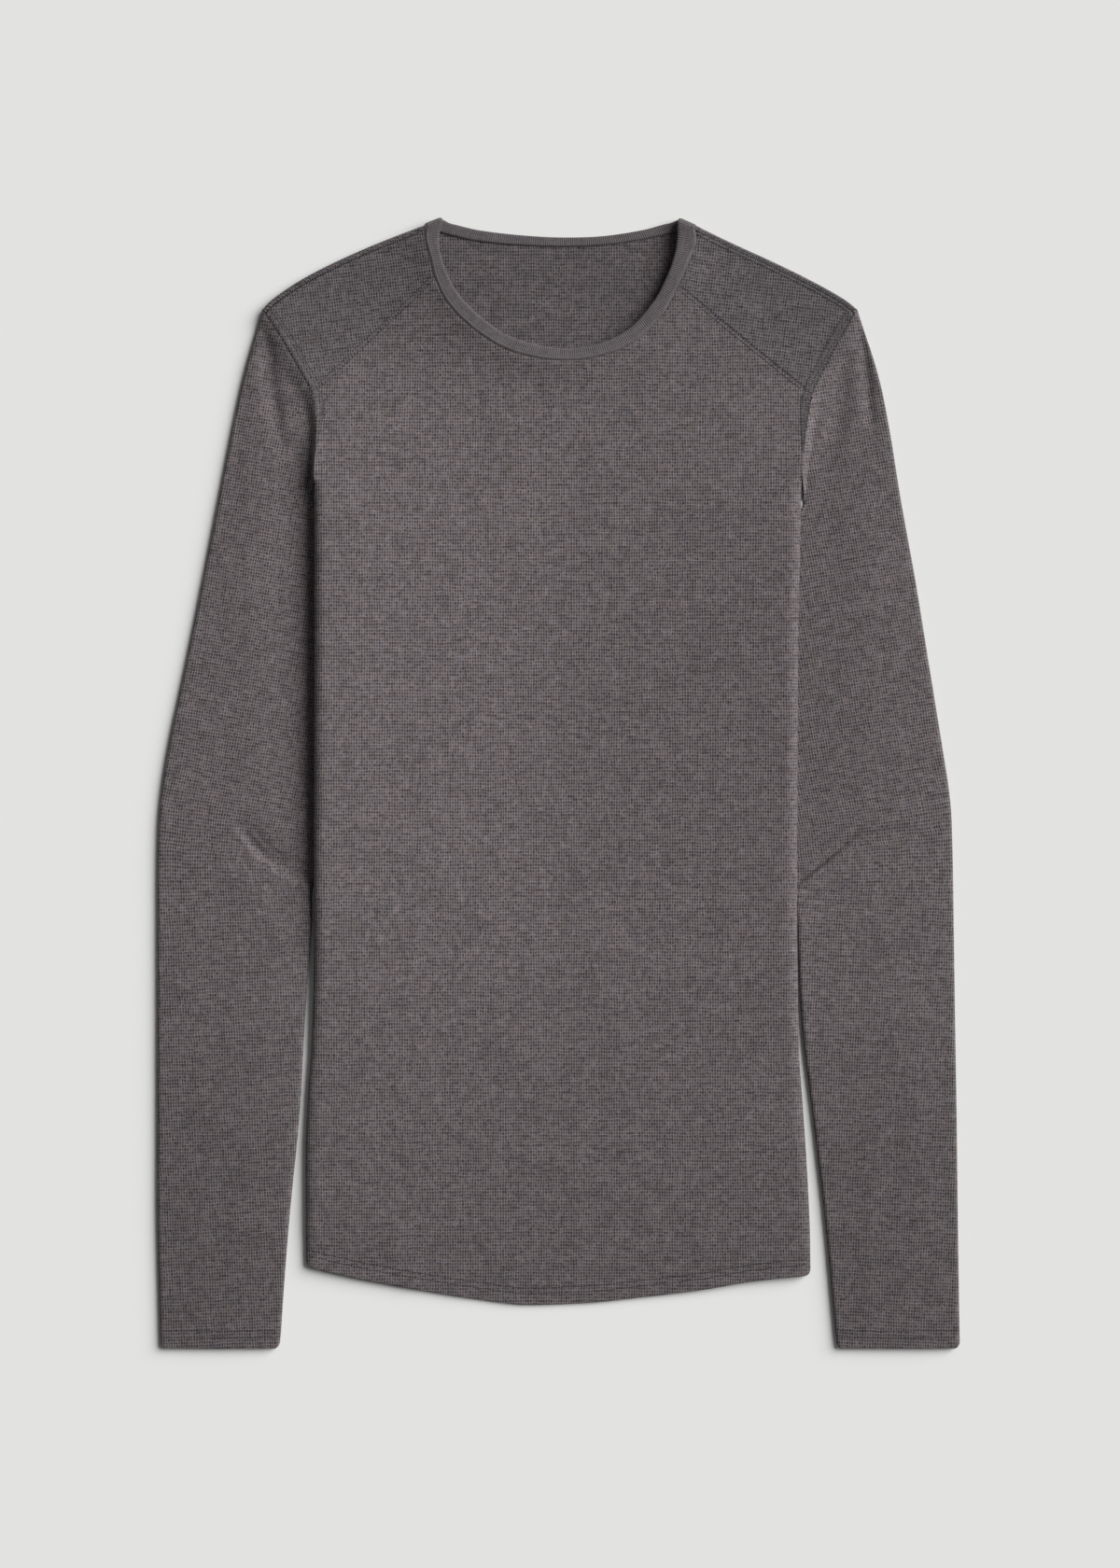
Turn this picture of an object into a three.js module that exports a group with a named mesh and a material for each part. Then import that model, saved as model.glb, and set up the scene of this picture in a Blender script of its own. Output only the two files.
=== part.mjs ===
// Thermal top: a long-sleeved crew-neck top in waffle knit, laid flat with its front up.
// Millimetres, +Z up. +X is the wearer's left, +Y points to the neck, and the top lies on z = 0.
import * as THREE from "three";

// Cloth
const WALL = 1.6; // one layer of waffle knit
const HEM_WALL = 2.0; // where the edge is turned and sewn
const TURN = 12; // width of the turned hem and cuffs
const SEAM_GAP = 0.3; // between two cut pieces
const BODY_LOFT = 1.2; // air between front and back
const EDGE_LOFT = 2.2; // the same beside side folds and armholes
const EDGE_REACH = 14; // how fast that fades inwards
const SHOULDER_LOFT = 1.8;
const SHOULDER_REACH = 60; // over which the air grows towards the shoulders
const NECK_LIFT = 3.8; // how far the front neckline stands up
const NECK_REACH = 20;
const SLEEVE_LOFT = 0.5; // air in a sleeve at its folds
const SLEEVE_CROWN = 1.7; // more air along the sleeve's middle
const CROWN_REACH = 30;
const WRAP = 3.4; // how far the back comes over the shoulder to its seam

// The body lies on the sleeves between the underarm and the elbow.
const LIFT = 4.0;
const LIFT_FULL = 34; // inwards from the side fold
const LIFT_END = 84;

// Neck binding
const BAND_WALL = 2.2;
const BAND_CHAMFER = 0.55;

// Side folds of the body and, above the underarm, the armhole seams.
const EDGES = [
  { y: -332, right: -169.4, left: 169.8 },
  { y: -302, right: -170.4, left: 169.0 },
  { y: -252, right: -170.6, left: 166.2 },
  { y: -214, right: -169.2, left: 163.8 },
  { y: -176, right: -166.6, left: 161.8 },
  { y: -126, right: -165.0, left: 161.0 },
  { y: -65, right: -164.6, left: 160.4 },
  { y: 88, right: -164.2, left: 161.0 },
  { y: 150, right: -164.2, left: 162.2 },
  { y: 205, right: -164.4, left: 163.4 },
  { y: 224, right: -163.6, left: 164.6 },
  { y: 243, right: -163.2, left: 167.0 },
  { y: 262, right: -165.6, left: 170.6 },
  { y: 280, right: -174.8, left: 179.2 },
  { y: 301, right: -186.8, left: 190.4 },
  { y: 320, right: -199.4, left: 201.0 },
];
const UNDERARM = 205;
const SHOULDER_TIP = 320;

// Folded edge of each shoulder, from its tip to the neck.
const SHOULDERS = [
  { y: 320.0, right: -199.4, left: 201.0 },
  { y: 327.6, right: -191.6, left: 191.2 },
  { y: 340.2, right: -172.8, left: 168.6 },
  { y: 352.8, right: -148.4, left: 142.8 },
  { y: 365.4, right: -119.4, left: 114.0 },
  { y: 377.0, right: -89.6, left: 89.6 },
];

// Finished edge of the hem.
const HEM = [
  { x: -170, y: -325.0 },
  { x: -132, y: -334.0 },
  { x: -95, y: -340.8 },
  { x: -57, y: -347.0 },
  { x: -19, y: -351.3 },
  { x: 19, y: -350.0 },
  { x: 57, y: -346.0 },
  { x: 95, y: -341.4 },
  { x: 132, y: -335.2 },
  { x: 170, y: -331.2 },
];

// Neck binding, from the wearer's right neck point to the left one: its seam and its free edge.
const FRONT_BAND = [
  { seamX: -85.8, seamY: 374.8, freeX: -77.0, freeY: 378.5 },
  { seamX: -88.0, seamY: 367.0, freeX: -80.6, freeY: 366.0 },
  { seamX: -86.4, seamY: 353.0, freeX: -78.4, freeY: 353.4 },
  { seamX: -83.5, seamY: 341.5, freeX: -74.3, freeY: 342.6 },
  { seamX: -75.9, seamY: 326.3, freeX: -67.6, freeY: 331.0 },
  { seamX: -62.1, seamY: 311.9, freeX: -54.8, freeY: 317.8 },
  { seamX: -43.2, seamY: 298.6, freeX: -38.6, freeY: 305.8 },
  { seamX: -24.3, seamY: 291.1, freeX: -21.0, freeY: 298.8 },
  { seamX: 0.9, seamY: 287.4, freeX: 1.6, freeY: 294.8 },
  { seamX: 26.1, seamY: 289.8, freeX: 23.8, freeY: 297.0 },
  { seamX: 51.3, seamY: 299.9, freeX: 46.3, freeY: 307.2 },
  { seamX: 70.2, seamY: 318.2, freeX: 62.8, freeY: 324.6 },
  { seamX: 80.3, seamY: 335.5, freeX: 71.6, freeY: 339.5 },
  { seamX: 86.2, seamY: 350.0, freeX: 76.6, freeY: 352.0 },
  { seamX: 89.6, seamY: 364.5, freeX: 79.4, freeY: 365.6 },
  { seamX: 87.4, seamY: 374.8, freeX: 78.8, freeY: 378.5 },
];
const BACK_BAND = [
  { seamX: -85.8, seamY: 374.8, freeX: -77.0, freeY: 378.5 },
  { seamX: -75.4, seamY: 370.6, freeX: -70.6, freeY: 377.6 },
  { seamX: -55.8, seamY: 366.2, freeX: -53.4, freeY: 373.6 },
  { seamX: -28.0, seamY: 363.4, freeX: -27.0, freeY: 370.4 },
  { seamX: 0.9, seamY: 362.4, freeX: 1.0, freeY: 368.8 },
  { seamX: 30.0, seamY: 363.4, freeX: 29.0, freeY: 369.6 },
  { seamX: 57.6, seamY: 367.4, freeX: 55.0, freeY: 373.4 },
  { seamX: 76.8, seamY: 371.4, freeX: 73.0, freeY: 378.0 },
  { seamX: 87.4, seamY: 374.8, freeX: 78.8, freeY: 378.5 },
];
// Rows of the front band where the slanting yoke seams start.
const YOKE_START = { right: 3, left: 12 };
// Height on the armhole where they end.
const YOKE_END = { right: 263.5, left: 261.5 };

// Each sleeve's folds: its outer edge and its inner edge, of which the body hides the upper stretch.
const RIGHT_SLEEVE = [
  { outerX: -199.8, outerY: 320.4, innerX: -164.9, innerY: 205.0 },
  { outerX: -212.0, outerY: 277.2, innerX: -165.8, innerY: 183.0 },
  { outerX: -220.2, outerY: 239.4, innerX: -152.0, innerY: 160.0 },
  { outerX: -228.8, outerY: 195.0, innerX: -140.0, innerY: 130.0 },
  { outerX: -240.4, outerY: 135.0, innerX: -134.0, innerY: 90.0 },
  { outerX: -252.0, outerY: 78.0, innerX: -134.0, innerY: 45.0 },
  { outerX: -263.2, outerY: 25.0, innerX: -143.0, innerY: 4.0 },
  { outerX: -268.8, outerY: -13.0, innerX: -157.0, innerY: -31.0 },
  { outerX: -270.4, outerY: -45.0, innerX: -165.6, innerY: -60.0 },
  { outerX: -270.6, outerY: -90.0, innerX: -166.6, innerY: -96.0 },
  { outerX: -270.6, outerY: -160.0, innerX: -171.3, innerY: -163.0 },
  { outerX: -270.6, outerY: -220.0, innerX: -175.3, innerY: -222.0 },
  { outerX: -270.6, outerY: -290.0, innerX: -182.0, innerY: -290.0 },
  { outerX: -269.4, outerY: -345.0, innerX: -186.0, innerY: -345.0 },
  { outerX: -268.6, outerY: -380.6, innerX: -187.8, innerY: -380.6 },
];
const LEFT_SLEEVE = [
  { outerX: 201.4, outerY: 320.4, innerX: 163.9, innerY: 205.0 },
  { outerX: 215.4, outerY: 277.2, innerX: 165.0, innerY: 183.0 },
  { outerX: 223.2, outerY: 239.4, innerX: 151.0, innerY: 160.0 },
  { outerX: 230.8, outerY: 192.0, innerX: 138.0, innerY: 130.0 },
  { outerX: 241.0, outerY: 135.0, innerX: 131.0, innerY: 90.0 },
  { outerX: 250.2, outerY: 78.0, innerX: 131.0, innerY: 45.0 },
  { outerX: 258.8, outerY: 25.0, innerX: 139.0, innerY: 4.0 },
  { outerX: 264.0, outerY: -10.0, innerX: 152.0, innerY: -32.0 },
  { outerX: 265.6, outerY: -42.0, innerX: 161.4, innerY: -62.0 },
  { outerX: 266.4, outerY: -90.0, innerX: 161.8, innerY: -97.0 },
  { outerX: 267.4, outerY: -160.0, innerX: 163.8, innerY: -166.0 },
  { outerX: 268.4, outerY: -220.0, innerX: 170.6, innerY: -222.0 },
  { outerX: 269.2, outerY: -290.0, innerX: 178.6, innerY: -290.0 },
  { outerX: 270.0, outerY: -345.0, innerX: 184.2, innerY: -345.0 },
  { outerX: 270.6, outerY: -380.6, innerX: 187.4, innerY: -380.6 },
];
const ARMHOLE_REACH = 24; // along the sleeve, until it lies at its own height
const CAP_ROWS = 4; // rows of the table over which the armhole's curve straightens
const LAST_SECTION = 35.6; // length of a sleeve between the table's last two rows
const ELBOW = -66; // below this height the body no longer hides the inner edges

// Largest folds of the upper layer: soft troughs and ridges, bowed sideways in their middle.
const CREASES = [
  { x1: -214, y1: -14, x2: -163, y2: -66, bow: 4, reach: 7, rise: -1.0 },
  { x1: -208, y1: -32, x2: -166, y2: -78, bow: 4, reach: 9, rise: 1.8 },
  { x1: 228, y1: -30, x2: 159, y2: -70, bow: -7, reach: 7, rise: -1.0 },
  { x1: 222, y1: -44, x2: 162, y2: -84, bow: -7, reach: 9, rise: 1.8 },
  { x1: -191, y1: 308, x2: -181, y2: 222, bow: -4, reach: 7, rise: -1.0 },
  { x1: 204, y1: 312, x2: 210, y2: 240, bow: 2, reach: 6, rise: -0.9 },
  { x1: 192, y1: 282, x2: 178, y2: 205, bow: 3, reach: 7, rise: -0.9 },
  { x1: -120, y1: -300, x2: -96, y2: -342, bow: 2, reach: 9, rise: 1.0 },
  { x1: -60, y1: -306, x2: -48, y2: -347, bow: 1, reach: 8, rise: -0.3 },
];
const LEAST_LOFT = 0.4; // the two layers never lie closer than this

// A smooth curve through a table: one column for any value of another, without overshoot.
function column(rows, input, output) {
  const sorted = [...rows].sort((a, b) => a[input] - b[input]);
  const x = sorted.map((row) => row[input]);
  const y = sorted.map((row) => row[output]);
  const step = x.slice(1).map((value, i) => (y[i + 1] - y[i]) / (value - x[i]));
  const slope = x.map((_, i) => {
    if (i === 0) return step[0];
    if (i === step.length) return step[i - 1];
    const product = step[i - 1] * step[i];
    return product <= 0 ? 0 : (2 * product) / (step[i - 1] + step[i]);
  });
  return (at) => {
    const above = x.findIndex((value) => value > at);
    if (above === 0) return y[0] + slope[0] * (at - x[0]);
    if (above < 0) return y.at(-1) + slope.at(-1) * (at - x.at(-1));
    const i = above - 1;
    const width = x[above] - x[i];
    const t = (at - x[i]) / width;
    const start = y[i] * (1 + 2 * t) + width * slope[i] * t;
    const end = y[above] * (3 - 2 * t) - width * slope[above] * (1 - t);
    return start * (1 - t) ** 2 + end * t ** 2;
  };
}

const point = (x, y) => new THREE.Vector2(x, y);
const mix = THREE.MathUtils.lerp;
const within = (share) => THREE.MathUtils.clamp(share, 0, 1);
const fade = (distance, reach) => 1 - THREE.MathUtils.smoothstep(distance, 0, reach);
const even = (from, to, count) =>
  Array.from({ length: count }, (_, i) => mix(from, to, i / (count - 1)));

// The curve through two columns of a table, from 0 at its first row to 1 at its last.
function route(rows, xColumn, yColumn) {
  return new THREE.SplineCurve(rows.map((row) => point(row[xColumn], row[yColumn])));
}

const edge = {
  right: column(EDGES, "y", "right"),
  left: column(EDGES, "y", "left"),
};
const hemAt = column(HEM, "x", "y");
const liftAt = column(
  [
    { y: -110, lift: 0 },
    { y: -96, lift: 0 },
    { y: -62, lift: LIFT },
    { y: 200, lift: LIFT },
    { y: 246, lift: 0 },
    { y: 260, lift: 0 },
  ],
  "y",
  "lift",
);
const NECK = { x: 1, y: 374, halfWidth: 88, depth: 86.5 };

// Heights of the laid top at a place in plan.
function sideDistance(x, y) {
  const inSpan = Math.min(y, SHOULDER_TIP);
  return Math.max(0, Math.min(x - edge.right(inSpan), edge.left(inSpan) - x));
}

function backBase(x, y) {
  const inwards = sideDistance(x, y) - LIFT_FULL;
  return liftAt(y) * fade(inwards, LIFT_END - LIFT_FULL);
}

function creaseRise(x, y) {
  let total = 0;
  for (const crease of CREASES) {
    const line = point(crease.x2 - crease.x1, crease.y2 - crease.y1);
    const length = line.length();
    line.divideScalar(length);
    const from = point(x - crease.x1, y - crease.y1);
    const t = from.dot(line) / length;
    if (t <= 0 || t >= 1) continue;
    const across = line.cross(from) - crease.bow * 4 * t * (1 - t);
    const taper = 1 - (2 * t - 1) ** 4;
    total += crease.rise * taper * Math.exp(-((across / crease.reach) ** 2));
  }
  return total;
}

function bodyWall(x, y) {
  return y - hemAt(x) < TURN ? HEM_WALL : WALL;
}

function frontTop(x, y) {
  const side = (EDGE_LOFT - BODY_LOFT) * Math.exp(-sideDistance(x, y) / EDGE_REACH);
  const fromNeck = Math.hypot((x - NECK.x) / NECK.halfWidth, (y - NECK.y) / NECK.depth) - 1;
  const neck = NECK_LIFT * Math.exp((-Math.max(0, fromNeck) * NECK.halfWidth) / NECK_REACH);
  const top = SHOULDER_LOFT - BODY_LOFT;
  const shoulder = top * THREE.MathUtils.smoothstep(y, SHOULDER_TIP - SHOULDER_REACH, SHOULDER_TIP);
  const loft = BODY_LOFT + side + neck + shoulder + creaseRise(x, y);
  const walls = WALL + bodyWall(x, y);
  return backBase(x, y) + walls + Math.max(LEAST_LOFT, loft);
}

// A mesh from rings of points: each ring closed, and the rings closed as a loop or by two end caps.
function closedMesh(name, material, points, triangles) {
  let volume = 0;
  for (const [a, b, c] of triangles)
    volume += points[a].dot(points[b].clone().cross(points[c]));
  const facingOut = volume > 0 ? triangles : triangles.map(([a, b, c]) => [a, c, b]);
  const geometry = new THREE.BufferGeometry();
  const places = points.flatMap((p) => [p.x, p.y, p.z]);
  geometry.setAttribute("position", new THREE.Float32BufferAttribute(places, 3));
  geometry.setIndex(facingOut.flat());
  geometry.computeVertexNormals();
  const mesh = new THREE.Mesh(geometry, material);
  mesh.name = name;
  return mesh;
}

function band(first, second, closed) {
  const triangles = [];
  const count = first.length;
  for (let i = 0; i < (closed ? count : count - 1); i++) {
    const next = (i + 1) % count;
    triangles.push([first[i], first[next], second[next]], [first[i], second[next], second[i]]);
  }
  return triangles;
}

// A cut panel: a grid of outer points and one of inner points, joined round the rim.
function panel(name, material, outer, inner) {
  const rows = outer.length;
  const columns = outer[0].length;
  const points = [...outer.flat(), ...inner.flat()];
  const outerRow = (j) => Array.from({ length: columns }, (_, i) => j * columns + i);
  const innerRow = (j) => outerRow(j + rows);
  const triangles = [];
  for (let j = 0; j < rows - 1; j++) {
    triangles.push(...band(outerRow(j), outerRow(j + 1), false));
    triangles.push(...band(innerRow(j + 1), innerRow(j), false));
  }
  const rim = (row) => [
    ...row(0),
    ...Array.from({ length: rows - 2 }, (_, j) => row(j + 1).at(-1)),
    ...row(rows - 1).reverse(),
    ...Array.from({ length: rows - 2 }, (_, j) => row(rows - 2 - j)[0]),
  ];
  triangles.push(...band(rim(innerRow), rim(outerRow), true));
  return closedMesh(name, material, points, triangles);
}

// A tube of cloth: rings of outer points and of inner points, with the wall closed at both ends.
function tube(name, material, outer, inner) {
  const rings = outer.length;
  const around = outer[0].length;
  const points = [...outer.flat(), ...inner.flat()];
  const outerRing = (j) => Array.from({ length: around }, (_, i) => j * around + i);
  const innerRing = (j) => outerRing(j + rings);
  const triangles = [];
  for (let j = 0; j < rings - 1; j++) {
    triangles.push(...band(outerRing(j), outerRing(j + 1), true));
    triangles.push(...band(innerRing(j + 1), innerRing(j), true));
  }
  triangles.push(...band(innerRing(0), outerRing(0), true));
  triangles.push(...band(outerRing(rings - 1), innerRing(rings - 1), true));
  return closedMesh(name, material, points, triangles);
}

// A plan grid spanned by four edge curves: rows from bottom to top, columns from start to end.
function spanned(bottom, top, start, end, columns, rows) {
  return rows.map((v) =>
    columns.map((u) => {
      const low = bottom(u);
      const high = top(u);
      const startBend = start(v).sub(bottom(0).lerp(top(0), v));
      const endBend = end(v).sub(bottom(1).lerp(top(1), v));
      return low
        .lerp(high, v)
        .addScaledVector(startBend, 1 - u)
        .addScaledVector(endBend, u);
    }),
  );
}

// Draws a grid's rim in by half the seam gap on the sides that are sewn.
function trimmed(grid, { bottom = true, top = true, start = true, end = true }) {
  const out = grid.map((row) => row.map((p) => p.clone()));
  const rows = grid.length;
  const columns = grid[0].length;
  const draw = (j, i, toJ, toI) => {
    const inwards = grid[toJ][toI].clone().sub(grid[j][i]).normalize();
    out[j][i].addScaledVector(inwards, SEAM_GAP / 2);
  };
  for (let i = 0; i < columns; i++) {
    if (bottom) draw(0, i, 1, i);
    if (top) draw(rows - 1, i, rows - 2, i);
  }
  for (let j = 0; j < rows; j++) {
    if (start) draw(j, 0, j, 1);
    if (end) draw(j, columns - 1, j, columns - 2);
  }
  return out;
}

// Where a wall rounds over a fold: the angle from the fold's middle (0) to the flat (90 degrees).
const FOLD_ANGLES = [0, 52, 90].map(THREE.MathUtils.degToRad);
const FOLD_RADIUS = 2.6;
const foldPlaces = FOLD_ANGLES.map((angle) => FOLD_RADIUS * (1 - Math.cos(angle)));

const BODY_WIDTH = 336;
const YOKE_SHARE = 0.25; // of the front's columns on each side, which run up to the slanting seam
const YOKE_COLUMNS = [0.03, 0.09, 0.17]; // places of columns between the side fold and that share
const sidePlaces = foldPlaces.map((place) => place / BODY_WIDTH);
const slantPlaces = [...sidePlaces, ...YOKE_COLUMNS];
const neckPlaces = even(YOKE_SHARE, 1 - YOKE_SHARE, 13);
const frontColumns = [...slantPlaces, ...neckPlaces, ...slantPlaces.map((u) => 1 - u).reverse()];

// The sewn-down share of a side: 1 on the side fold, 0 along the armhole.
const FOLD_END = 6; // the fold opens over this length below the underarm
const foldShare = (y) => fade(y - UNDERARM + FOLD_END, FOLD_END);

// Places a body panel's grid at its height. The layer is 1 for the front and -1 for the back.
function layered(grid, layer) {
  const outer = [];
  const inner = [];
  for (const row of grid) {
    const outerRow = [];
    const innerRow = [];
    row.forEach((p) => {
      const wall = bodyWall(p.x, p.y);
      const base = backBase(p.x, p.y);
      const height = frontTop(p.x, p.y) - base;
      const middle = base + height / 2;
      const distance = sideDistance(p.x, p.y);
      const cosine = Math.max(0, 1 - distance / FOLD_RADIUS);
      const drop = 1 - Math.sqrt(1 - cosine ** 2);
      const share = foldShare(p.y);
      const outwards = height / 2 - share * (height / 2 - SEAM_GAP / 2) * drop;
      const inwards = height / 2 - wall - share * (height / 2 - wall - SEAM_GAP / 2) * drop;
      const shift = share * wall * cosine * (p.x < 0 ? 1 : -1);
      outerRow.push(new THREE.Vector3(p.x, p.y, middle + layer * outwards));
      innerRow.push(new THREE.Vector3(p.x + shift, p.y, middle + layer * inwards));
    });
    outer.push(outerRow);
    inner.push(innerRow);
  }
  return { outer, inner };
}

const knit = new THREE.MeshStandardMaterial({ color: 0x61595c, roughness: 0.92, metalness: 0 });
const yokeKnit = new THREE.MeshStandardMaterial({ color: 0x5b5558, roughness: 0.92, metalness: 0 });
const ribKnit = new THREE.MeshStandardMaterial({ color: 0x5a5356, roughness: 0.9, metalness: 0 });

const neckSeam = route(FRONT_BAND, "seamX", "seamY");
const lastFrontRow = FRONT_BAND.length - 1;
const yokeStart = {
  right: YOKE_START.right / lastFrontRow,
  left: YOKE_START.left / lastFrontRow,
};
const HEM_CORNER = { right: hemAt(-169.6), left: hemAt(169.8) };

function hemLine(u) {
  const x = mix(edge.right(HEM_CORNER.right), edge.left(HEM_CORNER.left), u);
  return point(x, hemAt(x));
}

function sideLine(side, topY) {
  return (v) => {
    const y = mix(HEM_CORNER[side], topY, v);
    return point(edge[side](y), y);
  };
}

function frontTopLine(u) {
  const rightEnd = point(edge.right(YOKE_END.right), YOKE_END.right);
  const leftEnd = point(edge.left(YOKE_END.left), YOKE_END.left);
  if (u < YOKE_SHARE) return rightEnd.lerp(neckSeam.getPoint(yokeStart.right), u / YOKE_SHARE);
  if (u > 1 - YOKE_SHARE)
    return leftEnd.lerp(neckSeam.getPoint(yokeStart.left), (1 - u) / YOKE_SHARE);
  const share = (u - YOKE_SHARE) / (1 - 2 * YOKE_SHARE);
  return neckSeam.getPoint(mix(yokeStart.right, yokeStart.left, share));
}

// Heights on the side folds where the front and the back both have a row of points.
const SIDE_ROWS = [
  HEM_CORNER.right,
  HEM_CORNER.right + TURN - 0.2,
  HEM_CORNER.right + TURN + 1.5,
  ...even(-285, -115, 6),
  ...even(-88, -40, 3),
  ...even(-10, 170, 6),
  UNDERARM - 7,
  UNDERARM - 3,
  UNDERARM + 1,
  ...even(UNDERARM + 14, 250, 3),
];

function bodyRows(tops) {
  const all = [...SIDE_ROWS, ...tops];
  const length = all.at(-1) - all[0];
  return all.map((y) => (y - all[0]) / length);
}

function makeFront() {
  const grid = spanned(
    hemLine,
    frontTopLine,
    sideLine("right", YOKE_END.right),
    sideLine("left", YOKE_END.left),
    frontColumns,
    bodyRows([YOKE_END.right]),
  );
  const { outer, inner } = layered(trimmed(grid, { bottom: false, start: false, end: false }), 1);
  return panel("front_panel", knit, outer, inner);
}

// The folded shoulder line from neck to tip, and the seam that lies inwards of it.
const shoulderFold = {
  right: route([...SHOULDERS].reverse(), "right", "y"),
  left: route([...SHOULDERS].reverse(), "left", "y"),
};

function shoulderInwards(side, t) {
  const tangent = shoulderFold[side].getTangent(t);
  const inwards = point(-tangent.y, tangent.x);
  return inwards.y < 0 ? inwards : inwards.negate();
}

// Places along the shoulder from neck to tip, and rows from the slanting seam up to it.
const TIP_PLACES = [0.94, 1]; // close together where the fold meets the armhole
const shoulderPlaces = [...even(0, 0.8, 5), ...TIP_PLACES];
const yokeRows = even(0, 1, 7);
const YOKE_NECK_END = 0.012; // share of the front band that lies before the shoulder seam
const NECK_EASE = 0.15; // share of the shoulder over which its seam bends to that place

function makeShoulderPanel(side) {
  const seamEnd = SHOULDER_TIP - WRAP;
  const startOnNeck = side === "right" ? YOKE_NECK_END : 1 - YOKE_NECK_END;
  const lowOnNeck = yokeStart[side];
  const slant = (u) => {
    const end = point(edge[side](YOKE_END[side]), YOKE_END[side]);
    return neckSeam.getPoint(lowOnNeck).lerp(end, u);
  };
  const shoulderSeam = (u) => {
    const along = shoulderFold[side].getPoint(u);
    const seam = along.addScaledVector(shoulderInwards(side, u), WRAP);
    const neckMiss = neckSeam.getPoint(startOnNeck).sub(seamAtNeck(side));
    return seam.addScaledVector(neckMiss, 1 - THREE.MathUtils.smoothstep(u, 0, NECK_EASE));
  };
  const neckSide = (v) => neckSeam.getPoint(mix(lowOnNeck, startOnNeck, v));
  const armhole = (v) => {
    const y = mix(YOKE_END[side], seamEnd, v);
    return point(edge[side](y), y);
  };
  const grid = spanned(slant, shoulderSeam, neckSide, armhole, shoulderPlaces, yokeRows);
  const { outer, inner } = layered(trimmed(grid, {}), 1);
  return panel("shoulder_panel_" + side, yokeKnit, outer, inner);
}

function seamAtNeck(side) {
  return shoulderFold[side].getPoint(0).addScaledVector(shoulderInwards(side, 0), WRAP);
}

// The back's top line: a shoulder fold, the back neck seam, and the other shoulder fold.
const SHOULDER_SHARE = 0.3;
const NECK_MARGIN = 0.06; // share of the back band beyond its first and last column
const SHARE_STEP = 0.01; // keeps the neck's columns apart from the shoulders' ones
const backNeckSeam = route(BACK_BAND, "seamX", "seamY");
const backNeckPlaces = even(NECK_MARGIN, 1 - NECK_MARGIN, 9);
const NECK_POINT = { right: point(-88.6, 373.2), left: point(89.6, 373.2) };
const backNeckPoints = [
  NECK_POINT.right,
  ...backNeckPlaces.map((t) => backNeckSeam.getPoint(t).sub(point(0, SEAM_GAP))),
  NECK_POINT.left,
];
const firstNeckShare = SHOULDER_SHARE + SHARE_STEP;
const backNeckShares = even(firstNeckShare, 1 - firstNeckShare, backNeckPoints.length);

function backTopLine(u) {
  const fromNeck = within(1 - Math.min(u, 1 - u) / SHOULDER_SHARE);
  if (u <= SHOULDER_SHARE) return shoulderFold.right.getPoint(fromNeck);
  if (u >= 1 - SHOULDER_SHARE) return shoulderFold.left.getPoint(fromNeck);
  return backNeckPoints[backNeckShares.indexOf(u)].clone();
}

function makeBack() {
  const onShoulder = shoulderPlaces.slice(0, -1).map((t) => SHOULDER_SHARE * (1 - t)).reverse();
  const columns = [
    ...sidePlaces,
    ...onShoulder,
    ...backNeckShares,
    ...onShoulder.map((u) => 1 - u).reverse(),
    ...sidePlaces.map((u) => 1 - u).reverse(),
  ];
  const rows = bodyRows([YOKE_END.right, 290, SHOULDER_TIP - FOLD_RADIUS, SHOULDER_TIP]);
  const full = spanned(
    hemLine,
    backTopLine,
    sideLine("right", SHOULDER_TIP),
    sideLine("left", SHOULDER_TIP),
    columns,
    rows,
  );
  const topLine = full.pop();
  const { outer, inner } = layered(full, -1);
  // The last rows turn over the shoulder fold; at the neck they stay flat and end at the band.
  const turns = [-50, 0, 50, 90].map(THREE.MathUtils.degToRad);
  turns.forEach((angle, k) => {
    const outerRow = [];
    const innerRow = [];
    columns.forEach((u, i) => {
      const line = topLine[i];
      const base = backBase(line.x, line.y);
      const height = frontTop(line.x, line.y) - base;
      if (u <= SHOULDER_SHARE || u >= 1 - SHOULDER_SHARE) {
        const side = u < 0.5 ? "right" : "left";
        const fromNeck = within(1 - Math.min(u, 1 - u) / SHOULDER_SHARE);
        const inwards = shoulderInwards(side, fromNeck);
        const bend = FOLD_RADIUS * (1 - Math.cos(angle));
        const extra = angle === turns.at(-1) ? WRAP - FOLD_RADIUS - SEAM_GAP : 0;
        const outerPlace = line.clone().addScaledVector(inwards, bend + extra);
        const inset = WALL + (FOLD_RADIUS - WALL) * (1 - Math.cos(angle)) + extra;
        const innerPlace = line.clone().addScaledVector(inwards, inset);
        const middle = base + height / 2;
        const outerZ = middle + (height / 2) * Math.sin(angle);
        const innerZ = middle + (height / 2 - WALL) * Math.sin(angle);
        outerRow.push(new THREE.Vector3(outerPlace.x, outerPlace.y, outerZ));
        innerRow.push(new THREE.Vector3(innerPlace.x, innerPlace.y, innerZ));
        return;
      }
      const below = full.at(-1)[i];
      const flat = below.clone().lerp(line, (k + 1) / turns.length);
      outerRow.push(new THREE.Vector3(flat.x, flat.y, base));
      innerRow.push(new THREE.Vector3(flat.x, flat.y, base + WALL));
    });
    outer.push(outerRow);
    inner.push(innerRow);
  });
  return panel("back_panel", knit, outer, inner);
}

// The armhole seam from the shoulder tip (0) to the underarm (1), moved out by the seam gap.
function armholeAt(side) {
  const rows = even(SHOULDER_TIP, UNDERARM, 16).map((y) => ({ x: edge[side](y), y }));
  const curve = route(rows, "x", "y");
  const outwards = side === "right" ? 1 : -1;
  return (u) => {
    const tangent = curve.getTangentAt(u);
    const normal = point(tangent.y, -tangent.x).multiplyScalar(outwards);
    return curve.getPointAt(u).addScaledVector(normal, SEAM_GAP);
  };
}

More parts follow.
